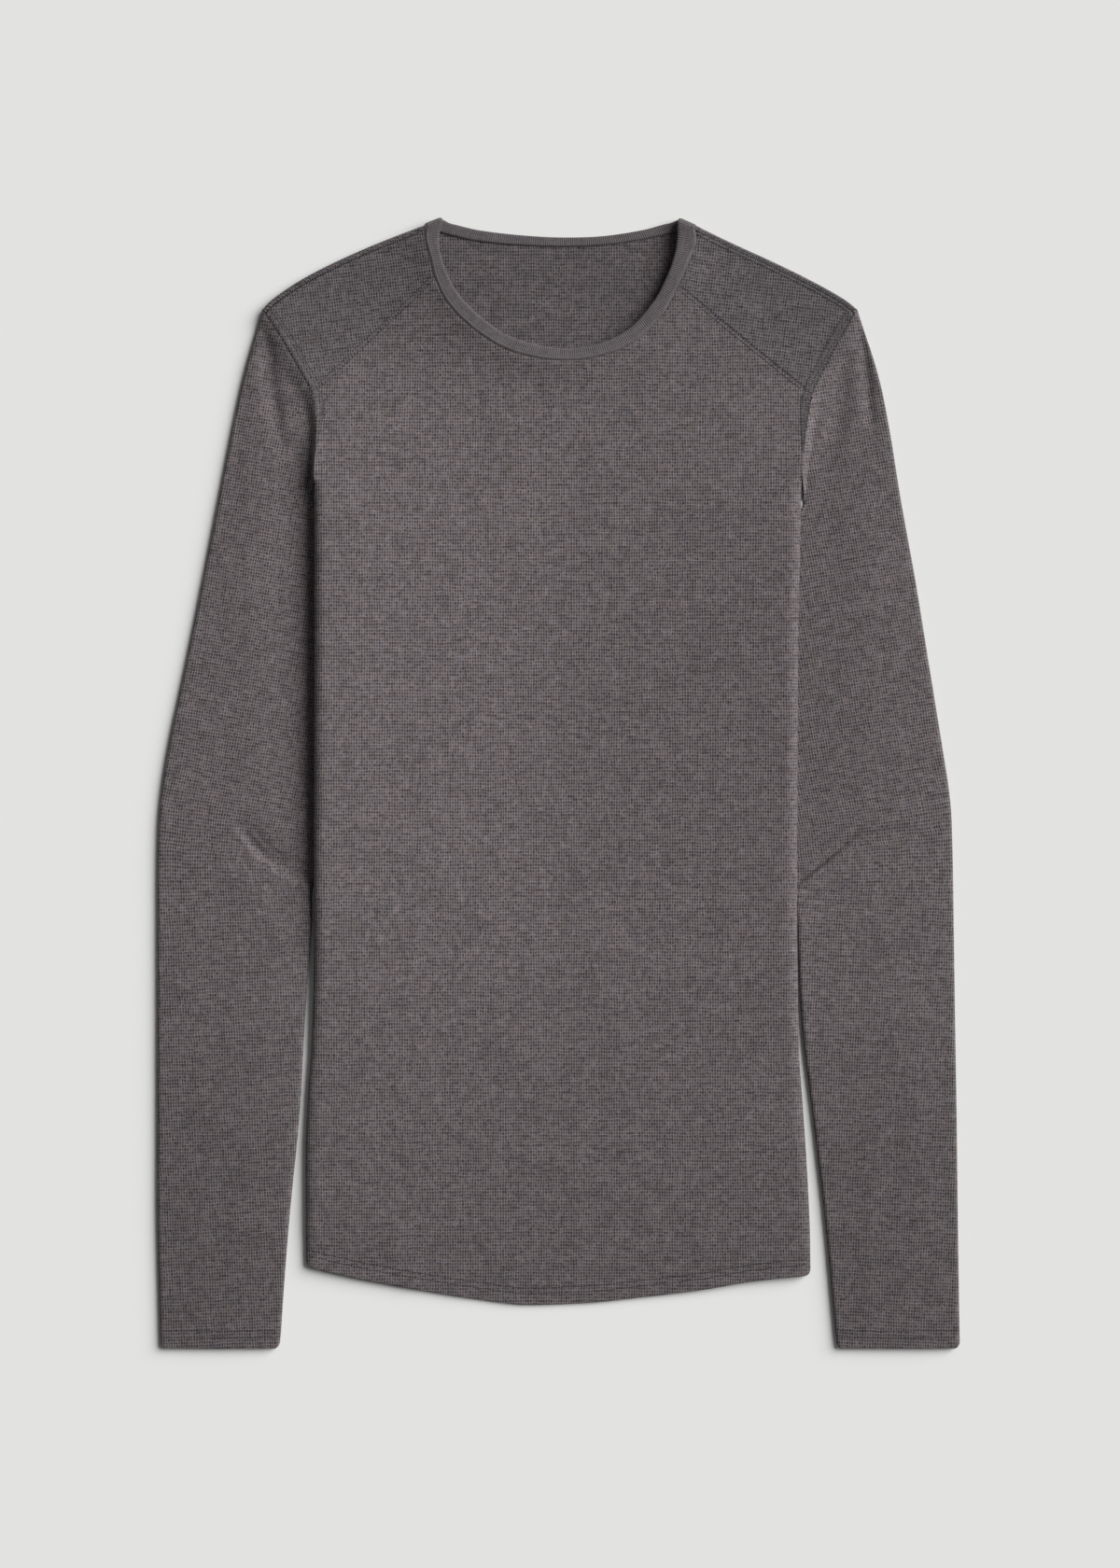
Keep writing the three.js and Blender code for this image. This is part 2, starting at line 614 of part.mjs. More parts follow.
// Shares of a sleeve's length: the ring beside the armhole, and the two rings of the cuff's step.
const FIRST_RING = 0.012;
const STEP_ABOVE = 0.003;
const STEP_BELOW = 0.0006;
const HIDDEN_EDGE = 2; // no fold is laid closer to the body's edge than this

function makeSleeve(side, rows) {
  const outerFold = route(rows, "outerX", "outerY");
  const innerFold = route(rows, "innerX", "innerY");
  const armhole = armholeAt(side);
  const inSign = side === "right" ? 1 : -1;
  const sections = rows.length - 1;
  const cuffAt = 1 - TURN / LAST_SECTION / sections;
  const evenRings = even(0, 1, 2 * sections + 1);
  const ringPlaces = [...evenRings, FIRST_RING, cuffAt - STEP_ABOVE, cuffAt + STEP_BELOW];
  ringPlaces.sort((a, b) => a - b);
  const capEnd = CAP_ROWS / sections;

  const place = (share, v) => {
    const straight = outerFold.getPoint(v).lerp(innerFold.getPoint(v), share);
    const bend = armhole(share).sub(outerFold.getPoint(0).lerp(innerFold.getPoint(0), share));
    return straight.addScaledVector(bend, fade(v, capEnd));
  };
  const heights = (share, v, wall) => {
    const p = place(share, v);
    const start = place(share, 0);
    const width = outerFold.getPoint(v).distanceTo(innerFold.getPoint(v));
    const bodyEdge = inSign * (edge[side](p.y) - p.x);
    const hidden = p.y > ELBOW && p.y < UNDERARM;
    const fromInner = hidden ? Math.min(bodyEdge, (1 - share) * width) : (1 - share) * width;
    const crown = (1 - fade(share * width, CROWN_REACH)) * (1 - fade(fromInner, CROWN_REACH));
    const visible = hidden && bodyEdge < HIDDEN_EDGE ? 0 : 1;
    const loft = SLEEVE_LOFT + SLEEVE_CROWN * crown + visible * creaseRise(p.x, p.y);
    const own = 2 * wall + Math.max(LEAST_LOFT, loft);
    const nearBody = fade(p.distanceTo(start), ARMHOLE_REACH);
    const seamPlace = place(share, 0);
    const base = backBase(seamPlace.x, seamPlace.y) * nearBody;
    return { p, base, top: mix(own, frontTop(seamPlace.x, seamPlace.y), nearBody) };
  };
  const ring = (v, depth) => {
    const wall = v > cuffAt ? HEM_WALL : WALL;
    const inset = depth * wall;
    const width = outerFold.getPoint(v).distanceTo(innerFold.getPoint(v));
    const shareAt = (distance) => distance / width;
    const ends = FOLD_ANGLES.map((angle) => ({
      angle,
      share: shareAt(inset + (FOLD_RADIUS - inset) * (1 - Math.cos(angle))),
    }));
    const made = [];
    const put = (share, lift) => {
      const { p, base, top } = heights(share, v, wall);
      const middle = (base + top) / 2;
      const half = (top - base) / 2 - inset;
      made.push(new THREE.Vector3(p.x, p.y, middle + half * lift));
    };
    ends.forEach(({ angle, share }) => put(share, Math.sin(angle)));
    even(0, 1, 7).slice(1, -1).forEach((share) => put(share, 1));
    [...ends].reverse().forEach(({ angle, share }) => put(1 - share, Math.sin(angle)));
    ends.slice(1).forEach(({ angle, share }) => put(1 - share, -Math.sin(angle)));
    even(0, 1, 4).slice(1, -1).reverse().forEach((share) => put(share, -1));
    ends.slice(1).reverse().forEach(({ angle, share }) => put(share, -Math.sin(angle)));
    return made;
  };
  const outer = ringPlaces.map((v) => ring(v, 0));
  const inner = ringPlaces.map((v) => ring(v, 1));
  return tube("sleeve_" + side, knit, outer, inner);
}

// The binding is one closed band that folds over at the two neck points.
const BAND_TURNS = [36, 72, 108, 144]; // degrees of the sections round such a fold

function makeBinding() {
  const backFree = route(BACK_BAND, "freeX", "freeY");
  const frontFree = route(FRONT_BAND, "freeX", "freeY");
  const backHeight = BAND_WALL / 2;
  const frontHeight = (p) => frontTop(p.x, p.y) - WALL / 2;
  const sections = [];
  const flat = (seam, free, height, up) =>
    sections.push({ seam, free, height, turn: up ? 0 : Math.PI, out: point(0, 0) });
  const folded = (t, falling) => {
    const seam = neckSeam.getPoint(t);
    const free = frontFree.getPoint(t);
    const width = free.clone().sub(seam).normalize();
    const out = point(-width.y, width.x);
    if (out.y < 0) out.negate();
    const high = frontHeight(seam);
    const radius = (high - backHeight) / 2;
    for (const degrees of BAND_TURNS) {
      const turn = THREE.MathUtils.degToRad(falling ? degrees : 180 - degrees);
      const shift = out.clone().multiplyScalar(radius * Math.sin(turn));
      const height = backHeight + radius * (1 + Math.cos(turn));
      sections.push({
        seam: seam.clone().add(shift),
        free: free.clone().add(shift),
        height,
        turn,
        out,
      });
    }
  };
  const yokePlaces = (side, end) => yokeRows.map((v) => mix(yokeStart[side], end, v));
  const frontPlaces = [
    0,
    ...yokePlaces("right", YOKE_NECK_END).reverse(),
    ...even(yokeStart.right, yokeStart.left, neckPlaces.length).slice(1, -1),
    ...yokePlaces("left", 1 - YOKE_NECK_END),
    1,
  ];
  for (const t of frontPlaces) {
    const seam = neckSeam.getPoint(t);
    flat(seam, frontFree.getPoint(t), frontHeight(seam), true);
  }
  folded(1, true);
  for (const t of [1, ...[...backNeckPlaces].reverse(), 0])
    flat(backNeckSeam.getPoint(t), backFree.getPoint(t), backHeight, false);
  folded(0, false);

  const half = BAND_WALL / 2;
  const rings = sections.map(({ seam, free, height, turn, out }) => {
    const across = free.clone().sub(seam);
    const width = across.length() - SEAM_GAP / 2;
    across.normalize();
    const centre = free.clone().addScaledVector(across, -width / 2);
    const side = width / 2;
    const bevelled = side - BAND_CHAMFER;
    const corners = [
      point(-side, -half + BAND_CHAMFER),
      point(-bevelled, -half),
      point(bevelled, -half),
      point(side, -half + BAND_CHAMFER),
      point(side, half - BAND_CHAMFER),
      point(bevelled, half),
      point(-bevelled, half),
      point(-side, half - BAND_CHAMFER),
    ];
    return corners.map((corner) => {
      const plan = centre
        .clone()
        .addScaledVector(across, corner.x)
        .addScaledVector(out, corner.y * Math.sin(turn));
      return new THREE.Vector3(plan.x, plan.y, height + corner.y * Math.cos(turn));
    });
  });
  const around = rings[0].length;
  const ids = (j) => Array.from({ length: around }, (_, i) => (j % rings.length) * around + i);
  const triangles = rings.flatMap((_, j) => band(ids(j), ids(j + 1), true));
  return closedMesh("neck_binding", ribKnit, rings.flat(), triangles);
}

const body = new THREE.Group();
body.add(makeFront(), makeBack());
body.add(makeShoulderPanel("right"), makeShoulderPanel("left"));
body.add(makeBinding());

const sleeves = new THREE.Group();
sleeves.add(makeSleeve("right", RIGHT_SLEEVE), makeSleeve("left", LEFT_SLEEVE));

const top = new THREE.Group();
top.name = "thermal_top";
top.add(body, sleeves);

export default top;
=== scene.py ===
"""Long-sleeved thermal top in waffle knit, laid flat with its front up and seen from above.

Sizes are written in millimetres, as a tailor writes them, and MM turns them into metres.
+X is the wearer's left, +Y points to the neck and the top lies on z = 0.
"""

from __future__ import annotations

import logging
import math
from dataclasses import dataclass, field
from enum import Enum
from typing import Callable, ClassVar

import bpy
import numpy as np
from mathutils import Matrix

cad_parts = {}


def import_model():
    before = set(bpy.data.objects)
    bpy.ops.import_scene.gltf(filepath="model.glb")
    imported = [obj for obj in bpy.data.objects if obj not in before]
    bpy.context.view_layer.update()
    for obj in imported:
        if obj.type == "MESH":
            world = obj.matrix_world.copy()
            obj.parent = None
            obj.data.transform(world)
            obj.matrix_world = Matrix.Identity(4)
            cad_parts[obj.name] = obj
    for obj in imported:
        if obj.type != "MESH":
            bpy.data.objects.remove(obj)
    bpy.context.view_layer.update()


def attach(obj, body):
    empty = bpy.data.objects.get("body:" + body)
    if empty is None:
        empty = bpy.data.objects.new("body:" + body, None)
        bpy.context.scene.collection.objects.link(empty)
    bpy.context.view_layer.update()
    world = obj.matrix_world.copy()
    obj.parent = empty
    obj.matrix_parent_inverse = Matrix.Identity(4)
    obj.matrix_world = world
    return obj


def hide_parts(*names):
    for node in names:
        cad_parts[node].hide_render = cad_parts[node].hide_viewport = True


log = logging.getLogger("thermal_top")
MM = 0.001
Array = np.ndarray
Grid = np.ndarray


class Side(Enum):
    """The wearer's sides."""

    RIGHT = "right"
    LEFT = "left"

    @property
    def sign(self) -> float:
        """Returns the side's direction along X."""
        return -1.0 if self is Side.RIGHT else 1.0


def table(names: str, *rows: tuple[float, ...]) -> dict[str, Array]:
    """Turns rows of millimetres into named columns in metres.

    Args:
        names: the columns' names, apart by spaces.
        rows: one row for each section.

    Returns:
        The columns by name.
    """
    return dict(zip(names.split(), np.array(rows, float).T * MM))


def ease(value: Array, start: float, end: float) -> Array:
    """Returns 0 before start, 1 after end and a smooth step between."""
    share = np.clip((np.asarray(value, float) - start) / (end - start), 0, 1)
    return share * share * (3 - 2 * share)


def steps(start: float, end: float, count: int) -> Array:
    """Returns evenly spaced values, both ends included."""
    return np.linspace(start, end, count)


@dataclass(frozen=True)
class Profile:
    """A smooth curve through a table, one column for any value of another, without overshoot."""

    places: Array
    values: Array

    def at(self, where: Array) -> Array:
        """Reads the curve.

        Args:
            where: values of the first column.

        Returns:
            The values of the second column there.
        """
        order = np.argsort(self.places)
        x, y = self.places[order], self.values[order]
        step = np.diff(y) / np.diff(x)
        inner = np.where(
            step[:-1] * step[1:] > 0,
            2 * step[:-1] * step[1:] / np.where(step[:-1] + step[1:] == 0, 1, step[:-1] + step[1:]),
            0,
        )
        slope = np.concatenate([step[:1], inner, step[-1:]])
        where = np.asarray(where, float)
        i = np.clip(np.searchsorted(x, where, side="right") - 1, 0, len(x) - 2)
        width = x[i + 1] - x[i]
        t = np.clip((where - x[i]) / width, 0, 1)
        start = y[i] * (1 + 2 * t) + width * slope[i] * t
        end = y[i + 1] * (3 - 2 * t) - width * slope[i + 1] * (1 - t)
        beyond = np.where(where < x[0], slope[0] * (where - x[0]), 0)
        beyond = np.where(where > x[-1], slope[-1] * (where - x[-1]), beyond)
        return start * (1 - t) ** 2 + end * t**2 + beyond


@dataclass(frozen=True)
class Route:
    """A smooth plan curve through a table's points, from share 0 to share 1."""

    x: Array
    y: Array

    def at(self, share: Array) -> Array:
        """Returns the points at the given shares of the table, one row of x and y each."""
        points = np.stack([self.x, self.y], -1)
        last = len(points) - 1
        place = np.clip(np.asarray(share, float), 0, 1) * last
        i = np.minimum(place.astype(int), last - 1)
        t = (place - i)[..., None]
        before, after = points[np.maximum(i - 1, 0)], points[np.minimum(i + 2, last)]
        here, following = points[i], points[i + 1]
        leave, arrive = (following - before) / 2, (after - here) / 2
        cube = (2 * here - 2 * following + leave + arrive) * t**3
        square = (-3 * here + 3 * following - 2 * leave - arrive) * t**2
        return cube + square + leave * t + here

    def spaced(self, share: Array) -> Array:
        """Returns the points at the given shares of the curve's length."""
        fine = steps(0, 1, 600)
        points = self.at(fine)
        run = np.concatenate([[0], np.cumsum(np.linalg.norm(np.diff(points, axis=0), axis=1))])
        return self.at(np.interp(np.asarray(share, float) * run[-1], run, fine))


# Side folds of the body and, above the underarm, the armhole seams.
EDGES = table(
    "y right left",
    (-332, -170.2, 169.9),
    (-302, -170.4, 169.4),
    (-252, -170.6, 167.0),
    (-214, -169.2, 164.4),
    (-176, -166.6, 161.8),
    (-126, -165.0, 161.0),
    (-65, -164.6, 160.4),
    (88, -164.2, 161.0),
    (150, -164.2, 162.2),
    (205, -164.4, 163.4),
    (224, -163.6, 164.6),
    (243, -163.2, 167.0),
    (262, -165.6, 170.6),
    (280, -174.8, 179.2),
    (301, -186.8, 190.4),
    (320, -199.4, 201.0),
)
# Folded edge of each shoulder, from the neck to the tip.
SHOULDERS = table(
    "y right left",
    (377.0, -88.2, 90.6),
    (365.4, -119.4, 115.0),
    (352.8, -148.4, 142.8),
    (340.2, -172.8, 168.6),
    (327.6, -191.6, 191.2),
    (320.0, -199.4, 201.0),
)
# Finished edge of the hem.
HEM = table(
    "x y",
    (-170, -325.0),
    (-132, -334.0),
    (-95, -340.8),
    (-57, -347.0),
    (-19, -351.3),
    (19, -350.0),
    (57, -346.0),
    (95, -341.4),
    (132, -335.2),
    (170, -331.2),
)
# Neck binding from the wearer's right neck point to the left one: its seam and its free edge.
FRONT_BAND = table(
    "seam_x seam_y free_x free_y",
    (-89.4, 373.8, -77.6, 378.4),
    (-90.0, 366.6, -80.6, 366.0),
    (-86.4, 353.0, -78.4, 353.4),
    (-83.6, 340.9, -74.3, 342.2),
    (-76.2, 325.2, -67.7, 330.2),
    (-62.6, 310.2, -55.0, 316.6),
    (-43.5, 296.4, -38.7, 304.3),
    (-24.4, 288.6, -21.0, 297.1),
    (0.9, 284.8, 1.6, 293.0),
    (26.2, 287.2, 23.8, 295.2),
    (51.6, 297.5, 46.4, 305.6),
    (70.6, 316.6, 63.0, 323.4),
    (80.5, 334.8, 71.7, 339.0),
    (87.4, 350.0, 76.8, 352.0),
    (92.8, 364.0, 79.6, 365.6),
    (92.0, 372.8, 79.8, 378.2),
)
BACK_BAND = table(
    "seam_x seam_y free_x free_y",
    (-89.4, 373.8, -77.6, 378.4),
    (-75.4, 370.6, -70.6, 377.6),
    (-55.8, 366.2, -53.4, 373.6),
    (-28.0, 363.4, -27.0, 370.4),
    (0.9, 362.4, 1.0, 368.8),
    (30.0, 363.4, 29.0, 369.6),
    (57.6, 367.4, 55.0, 373.4),
    (76.8, 371.4, 73.0, 378.0),
    (92.0, 372.8, 79.8, 378.2),
)
# Distances of the sewn rows from their seams.
SLANT_ROW = 1.5 * MM
ARMHOLE_BAND = (0.7 * MM, 6.4 * MM)
# Rows of the front band where the slanting yoke seams start, and their height on the armhole.
YOKE_START = {Side.RIGHT: 3 / 15, Side.LEFT: 12 / 15}
YOKE_END = {Side.RIGHT: 263.5 * MM, Side.LEFT: 261.5 * MM}
# Each sleeve's outer and inner fold from armhole to cuff.
SLEEVES = {
    Side.RIGHT: table(
        "outer_x outer_y inner_x inner_y",
        (-199.8, 320.4, -164.9, 205.0),
        (-212.0, 277.2, -165.8, 183.0),
        (-220.2, 239.4, -152.0, 160.0),
        (-228.8, 195.0, -140.0, 130.0),
        (-240.4, 135.0, -134.0, 90.0),
        (-252.0, 78.0, -134.0, 45.0),
        (-263.2, 25.0, -143.0, 4.0),
        (-268.8, -13.0, -151.0, -34.0),
        (-270.4, -45.0, -165.2, -67.0),
        (-270.6, -90.0, -166.6, -96.0),
        (-270.6, -160.0, -171.3, -163.0),
        (-270.6, -220.0, -174.6, -222.0),
        (-270.6, -290.0, -181.2, -290.0),
        (-269.4, -345.0, -185.6, -345.0),
        (-268.6, -380.6, -187.8, -380.6),
    ),
    Side.LEFT: table(
        "outer_x outer_y inner_x inner_y",
        (201.4, 320.4, 163.9, 205.0),
        (215.4, 277.2, 165.0, 183.0),
        (223.2, 239.4, 151.0, 160.0),
        (230.8, 192.0, 138.0, 130.0),
        (241.0, 135.0, 131.0, 90.0),
        (250.2, 78.0, 131.0, 45.0),
        (258.8, 25.0, 139.0, 4.0),
        (264.0, -10.0, 147.0, -34.0),
        (265.6, -42.0, 157.8, -68.0),
        (266.4, -90.0, 160.5, -97.0),
        (267.4, -160.0, 164.2, -166.0),
        (268.4, -220.0, 171.0, -222.0),
        (269.2, -290.0, 179.0, -290.0),
        (270.0, -345.0, 184.2, -345.0),
        (270.6, -380.6, 187.4, -380.6),
    ),
}
# Height by which the sleeves beneath lift the body's sides.
LIFT = table("y lift", (-110, 0), (-96, 0), (-62, 4), (200, 4), (246, 0), (260, 0))
# How much higher than its middle the front lies at its sides.
RISE = table(
    "y rise",
    (-352, 3.2),
    (-300, 3.3),
    (-200, 3.3),
    (-140, 6.0),
    (-60, 10.2),
    (20, 12.2),
    (180, 11.4),
    (240, 6.6),
    (290, 3.0),
    (320, 2.4),
    (380, 2.0),
)
# Soft troughs (negative) and ridges of the upper layer: a line from 1 to 2, bowed sideways in its
# middle, with its width to either side.
BODY_CREASES = table(
    "x1 y1 x2 y2 bow above below rise",
    (-162, 272, -156, 216, 1, 6, 5, -0.8),
    (164, 262, 158, 214, 1, 6, 6, -0.5),
    (-120, -296, -96, -346, 2, 9, 9, 0.9),
    (-60, -306, -48, -350, 1, 8, 8, -0.3),
    (-20, 250, -40, 120, 8, 22, 22, 0.3),
    (60, 230, 90, 40, -6, 26, 26, -0.3),
    (-100, 60, -70, -160, 6, 24, 24, 0.3),
    (30, -40, 60, -260, -8, 26, 26, 0.3),
    (110, -120, 90, -300, 5, 20, 20, -0.3),
)
SLEEVE_CREASES = table(
    "x1 y1 x2 y2 bow above below rise",
    (-220, -22, -148, -69, -12, 9.5, 2.0, -2.9),
    (-213, -27, -188, -55, -3, 1.2, 1.6, -0.5),
    (-207, -25, -184, -50, -3, 1.2, 1.5, -0.4),
    (-212, -52, -186, -72, -3, 2.2, 2.6, -0.3),
    (-236, -40, -198, -84, -3, 10, 14, 0.6),
    (148, -79, 207, -29.5, 0.6, 2.6, 1.3, -3.3),
    (188, -44, 238, -30, 2.6, 2.4, 1.6, -1.5),
    (152, -52, 204, -20, 3, 8, 6, 0.6),
    (152, -71, 190, -74, 0.6, 1.5, 1.2, -0.6),
    (152, -76, 184, -80.5, 0.6, 1.5, 1.2, -0.5),
    (152, -81, 178, -87, 0.6, 1.5, 1.2, -0.4),
    (-196, 316, -186, 222, -2, 4.5, 6, -2.1),
    (-204, 296, -196, 206, -3, 7, 6, 0.4),
    (202, 318, 211, 236, 1, 3.6, 4.6, -2.2),
    (194, 290, 176, 204, 3, 7, 6, -1.8),
)


def crease_rise(creases: dict[str, Array], x: Array, y: Array) -> Array:
    """Returns the height that a table's troughs and ridges add at the given places."""
    total = np.zeros_like(np.asarray(x, float))
    for values in zip(*creases.values()):
        row = dict(zip(creases, values))
        run = np.array([row["x2"] - row["x1"], row["y2"] - row["y1"]])
        length = float(np.hypot(*run))
        run /= length
        dx, dy = x - row["x1"], y - row["y1"]
        t = (dx * run[0] + dy * run[1]) / length
        across = run[0] * dy - run[1] * dx - row["bow"] * 4 * t * (1 - t)
        width = np.where(across > 0, row["above"], row["below"])
        taper = np.where((t > 0) & (t < 1), 1 - np.abs(2 * t - 1) ** 3, 0)
        total += row["rise"] * taper * np.exp(-((across / width) ** 2))
    return total


def rounded(distance: Array, radius: float) -> Array:
    """Returns how far an edge draws back at a corner, by the distance from the corner's side."""
    near = np.clip(1 - np.asarray(distance, float) / radius, 0, 1)
    return radius * (1 - np.sqrt(1 - near**2))


@dataclass(frozen=True)
class Layout:
    """How the top lies: its outline in plan and the height of its outer surfaces."""

    turn: float = 12 * MM
    middle_height: float = 4.4 * MM
    half_width: float = 165 * MM
    hem_sink: float = 1.7 * MM
    hem_reach: float = 34 * MM
    neck_lift: float = 6.8 * MM
    neck_reach: float = 20 * MM
    neck_centre: tuple[float, float] = (1 * MM, 374 * MM)
    neck_half_width: float = 88 * MM
    neck_depth: float = 86.5 * MM
    lift_full: float = 34 * MM
    lift_end: float = 84 * MM
    underarm: float = 205 * MM
    shoulder_tip: float = 320 * MM
    fold_radius: float = 8.0 * MM
    shoulder_radius: float = 2.6 * MM
    back_wrap: float = 3.4 * MM

    def edge(self, side: Side, y: Array) -> Array:
        """Returns where a side's fold or armhole lies at the given heights up the garment."""
        return Profile(EDGES["y"], EDGES[side.value]).at(y)

    def hem(self, x: Array) -> Array:
        """Returns the hem's edge at the given places across."""
        return Profile(HEM["x"], HEM["y"]).at(x)

    def side_distance(self, x: Array, y: Array) -> Array:
        """Returns how far inside the nearer side fold or armhole a place lies."""
        y = np.minimum(y, self.shoulder_tip)
        near = np.minimum(x - self.edge(Side.RIGHT, y), self.edge(Side.LEFT, y) - x)
        return np.maximum(0, near)

    def back_base(self, x: Array, y: Array) -> Array:
        """Returns the height of the back's underside, which the sleeves lift at the sides."""
        lift = Profile(LIFT["y"], LIFT["lift"]).at(y)
        return lift * (1 - ease(self.side_distance(x, y), self.lift_full, self.lift_end))

    def front_top(self, x: Array, y: Array) -> Array:
        """Returns the height of the front's outer surface, before it rounds over a side fold."""
        inwards = np.clip(self.side_distance(x, y) / self.half_width, 0, 1)
        rise = Profile(RISE["y"], RISE["rise"]).at(y) * (1 - inwards) ** 1.5
        across = (x - self.neck_centre[0]) / self.neck_half_width
        down = (y - self.neck_centre[1]) / self.neck_depth
        from_neck = np.maximum(0, np.hypot(across, down) - 1) * self.neck_half_width
        neck = self.neck_lift * np.exp(-from_neck / self.neck_reach)
        sunk = self.hem_sink * (1 - ease(y - self.hem(x), 0, self.hem_reach))
        return self.middle_height + rise + neck - sunk + crease_rise(BODY_CREASES, x, y)


LAY = Layout()
NECK_SEAM = Route(FRONT_BAND["seam_x"], FRONT_BAND["seam_y"])
NECK_FREE = Route(FRONT_BAND["free_x"], FRONT_BAND["free_y"])
BACK_SEAM = Route(BACK_BAND["seam_x"], BACK_BAND["seam_y"])
BACK_FREE = Route(BACK_BAND["free_x"], BACK_BAND["free_y"])


def shoulder_route(side: Side) -> Route:
    """Returns a shoulder's folded edge from the neck to the tip."""
    return Route(SHOULDERS[side.value], SHOULDERS["y"])


def inwards_of(route: Route, share: Array) -> Array:
    """Returns unit vectors across a shoulder's fold, towards the chest."""
    share = np.asarray(share, float)
    run = route.at(np.minimum(share + 1e-3, 1)) - route.at(np.maximum(share - 1e-3, 0))
    across = np.stack([-run[..., 1], run[..., 0]], -1)
    across /= np.linalg.norm(across, axis=-1, keepdims=True)
    return np.where(across[..., 1:] > 0, -across, across)


def spanned(low: Array, high: Array, start: Array, end: Array, u: Array, v: Array) -> Grid:
    """Fills four edge curves with a plan grid.

    Args:
        low: points of the bottom edge, one for each u.
        high: points of the top edge, one for each u.
        start: points of the first side edge, one for each v.
        end: points of the last side edge, one for each v.
        u: shares across.
        v: shares from bottom to top.

    Returns:
        Rows of columns of x and y.
    """
    up, across = v[:, None, None], u[None, :, None]
    flat = low[None] * (1 - up) + high[None] * up
    first = start - (low[0] * (1 - v[:, None]) + high[0] * v[:, None])
    last = end - (low[-1] * (1 - v[:, None]) + high[-1] * v[:, None])
    return flat + first[:, None] * (1 - across) + last[:, None] * across


def drawn_in(grid: Grid, low: float, high: float, start: float, end: float) -> Grid:
    """Draws a plan grid's edges in by the given lengths, or out where one is negative."""
    out = grid.copy()

    def draw(edge: tuple, inner: tuple, by: float) -> None:
        run = grid[inner] - grid[edge]
        out[edge] += by * run / np.linalg.norm(run, axis=-1, keepdims=True)

    draw((0,), (1,), low)
    draw((-1,), (-2,), high)
    draw((slice(None), 0), (slice(None), 1), start)
    draw((slice(None), -1), (slice(None), -2), end)
    return out


def unit(vectors: Array) -> Array:
    """Returns the vectors at length 1."""
    return vectors / np.maximum(np.linalg.norm(vectors, axis=-1, keepdims=True), 1e-12)


def normals_of(grid: Grid) -> Array:
    """Returns a grid's unit normals, by the right-hand rule from columns to rows."""
    return unit(np.cross(np.gradient(grid, axis=1), np.gradient(grid, axis=0)))


def beside(line: Array, by: float) -> Array:
    """Returns a plan line moved sideways, to the left of the way it runs."""
    run = unit(np.gradient(line, axis=0))
    return line + by * np.stack([-run[:, 1], run[:, 0]], -1)


def on_surface(surface: Callable[[Array], Array], line: Array) -> tuple[Array, Array]:
    """Lays a plan line on a surface.

    Args:
        surface: turns plan points into points of the surface.
        line: the plan points.

    Returns:
        The line's points and the surface's normals there.
    """
    right, up = np.array([0.4 * MM, 0]), np.array([0, 0.4 * MM])
    across = surface(line + right) - surface(line - right)
    along = surface(line + up) - surface(line - up)
    return surface(line), unit(np.cross(across, along))


def run_lengths(grid: Grid, axis: int) -> Array:
    """Returns each point's distance along its row (axis 1) or column (axis 0)."""
    gaps = np.linalg.norm(np.diff(grid, axis=axis), axis=-1)
    first = np.zeros_like(np.take(gaps, [0], axis=axis))
    return np.cumsum(np.concatenate([first, gaps], axis=axis), axis=axis)


def unrolled(grid: Grid, across: Array, along: Array, middle: int, sign: float = 1) -> Array:
    """Unrolls a surface so that its flat cloth keeps its size round folds.

    Args:
        grid: rows of columns of points.
        across: the flat cloth's first coordinate, which counts on the middle column.
        along: its second coordinate.
        middle: the column from which the first coordinate runs on.
        sign: 1 where it grows with the columns, -1 where it falls.

    Returns:
        The flat places of all points.
    """
    gaps = np.linalg.norm(np.diff(grid, axis=1), axis=-1)
    level = np.sqrt(np.maximum(gaps**2 - np.diff(along, axis=1) ** 2, 0))
    run = np.concatenate([np.zeros((len(grid), 1)), np.cumsum(level, axis=1)], axis=1)
    run = (run - run[:, [middle]]) * sign
    return np.stack([across[:, [middle]] + run, along], -1)


def only(obj: bpy.types.Object) -> None:
    """Selects one object and makes it active."""
    if bpy.context.object and bpy.context.object.mode != "OBJECT":
        bpy.ops.object.mode_set(mode="OBJECT")
    bpy.ops.object.select_all(action="DESELECT")
    obj.select_set(True)
    bpy.context.view_layer.objects.active = obj


def apply_all(obj: bpy.types.Object) -> None:
    """Applies every modifier of an object."""
    only(obj)
    for modifier in list(obj.modifiers):
        bpy.ops.object.modifier_apply(modifier=modifier.name)


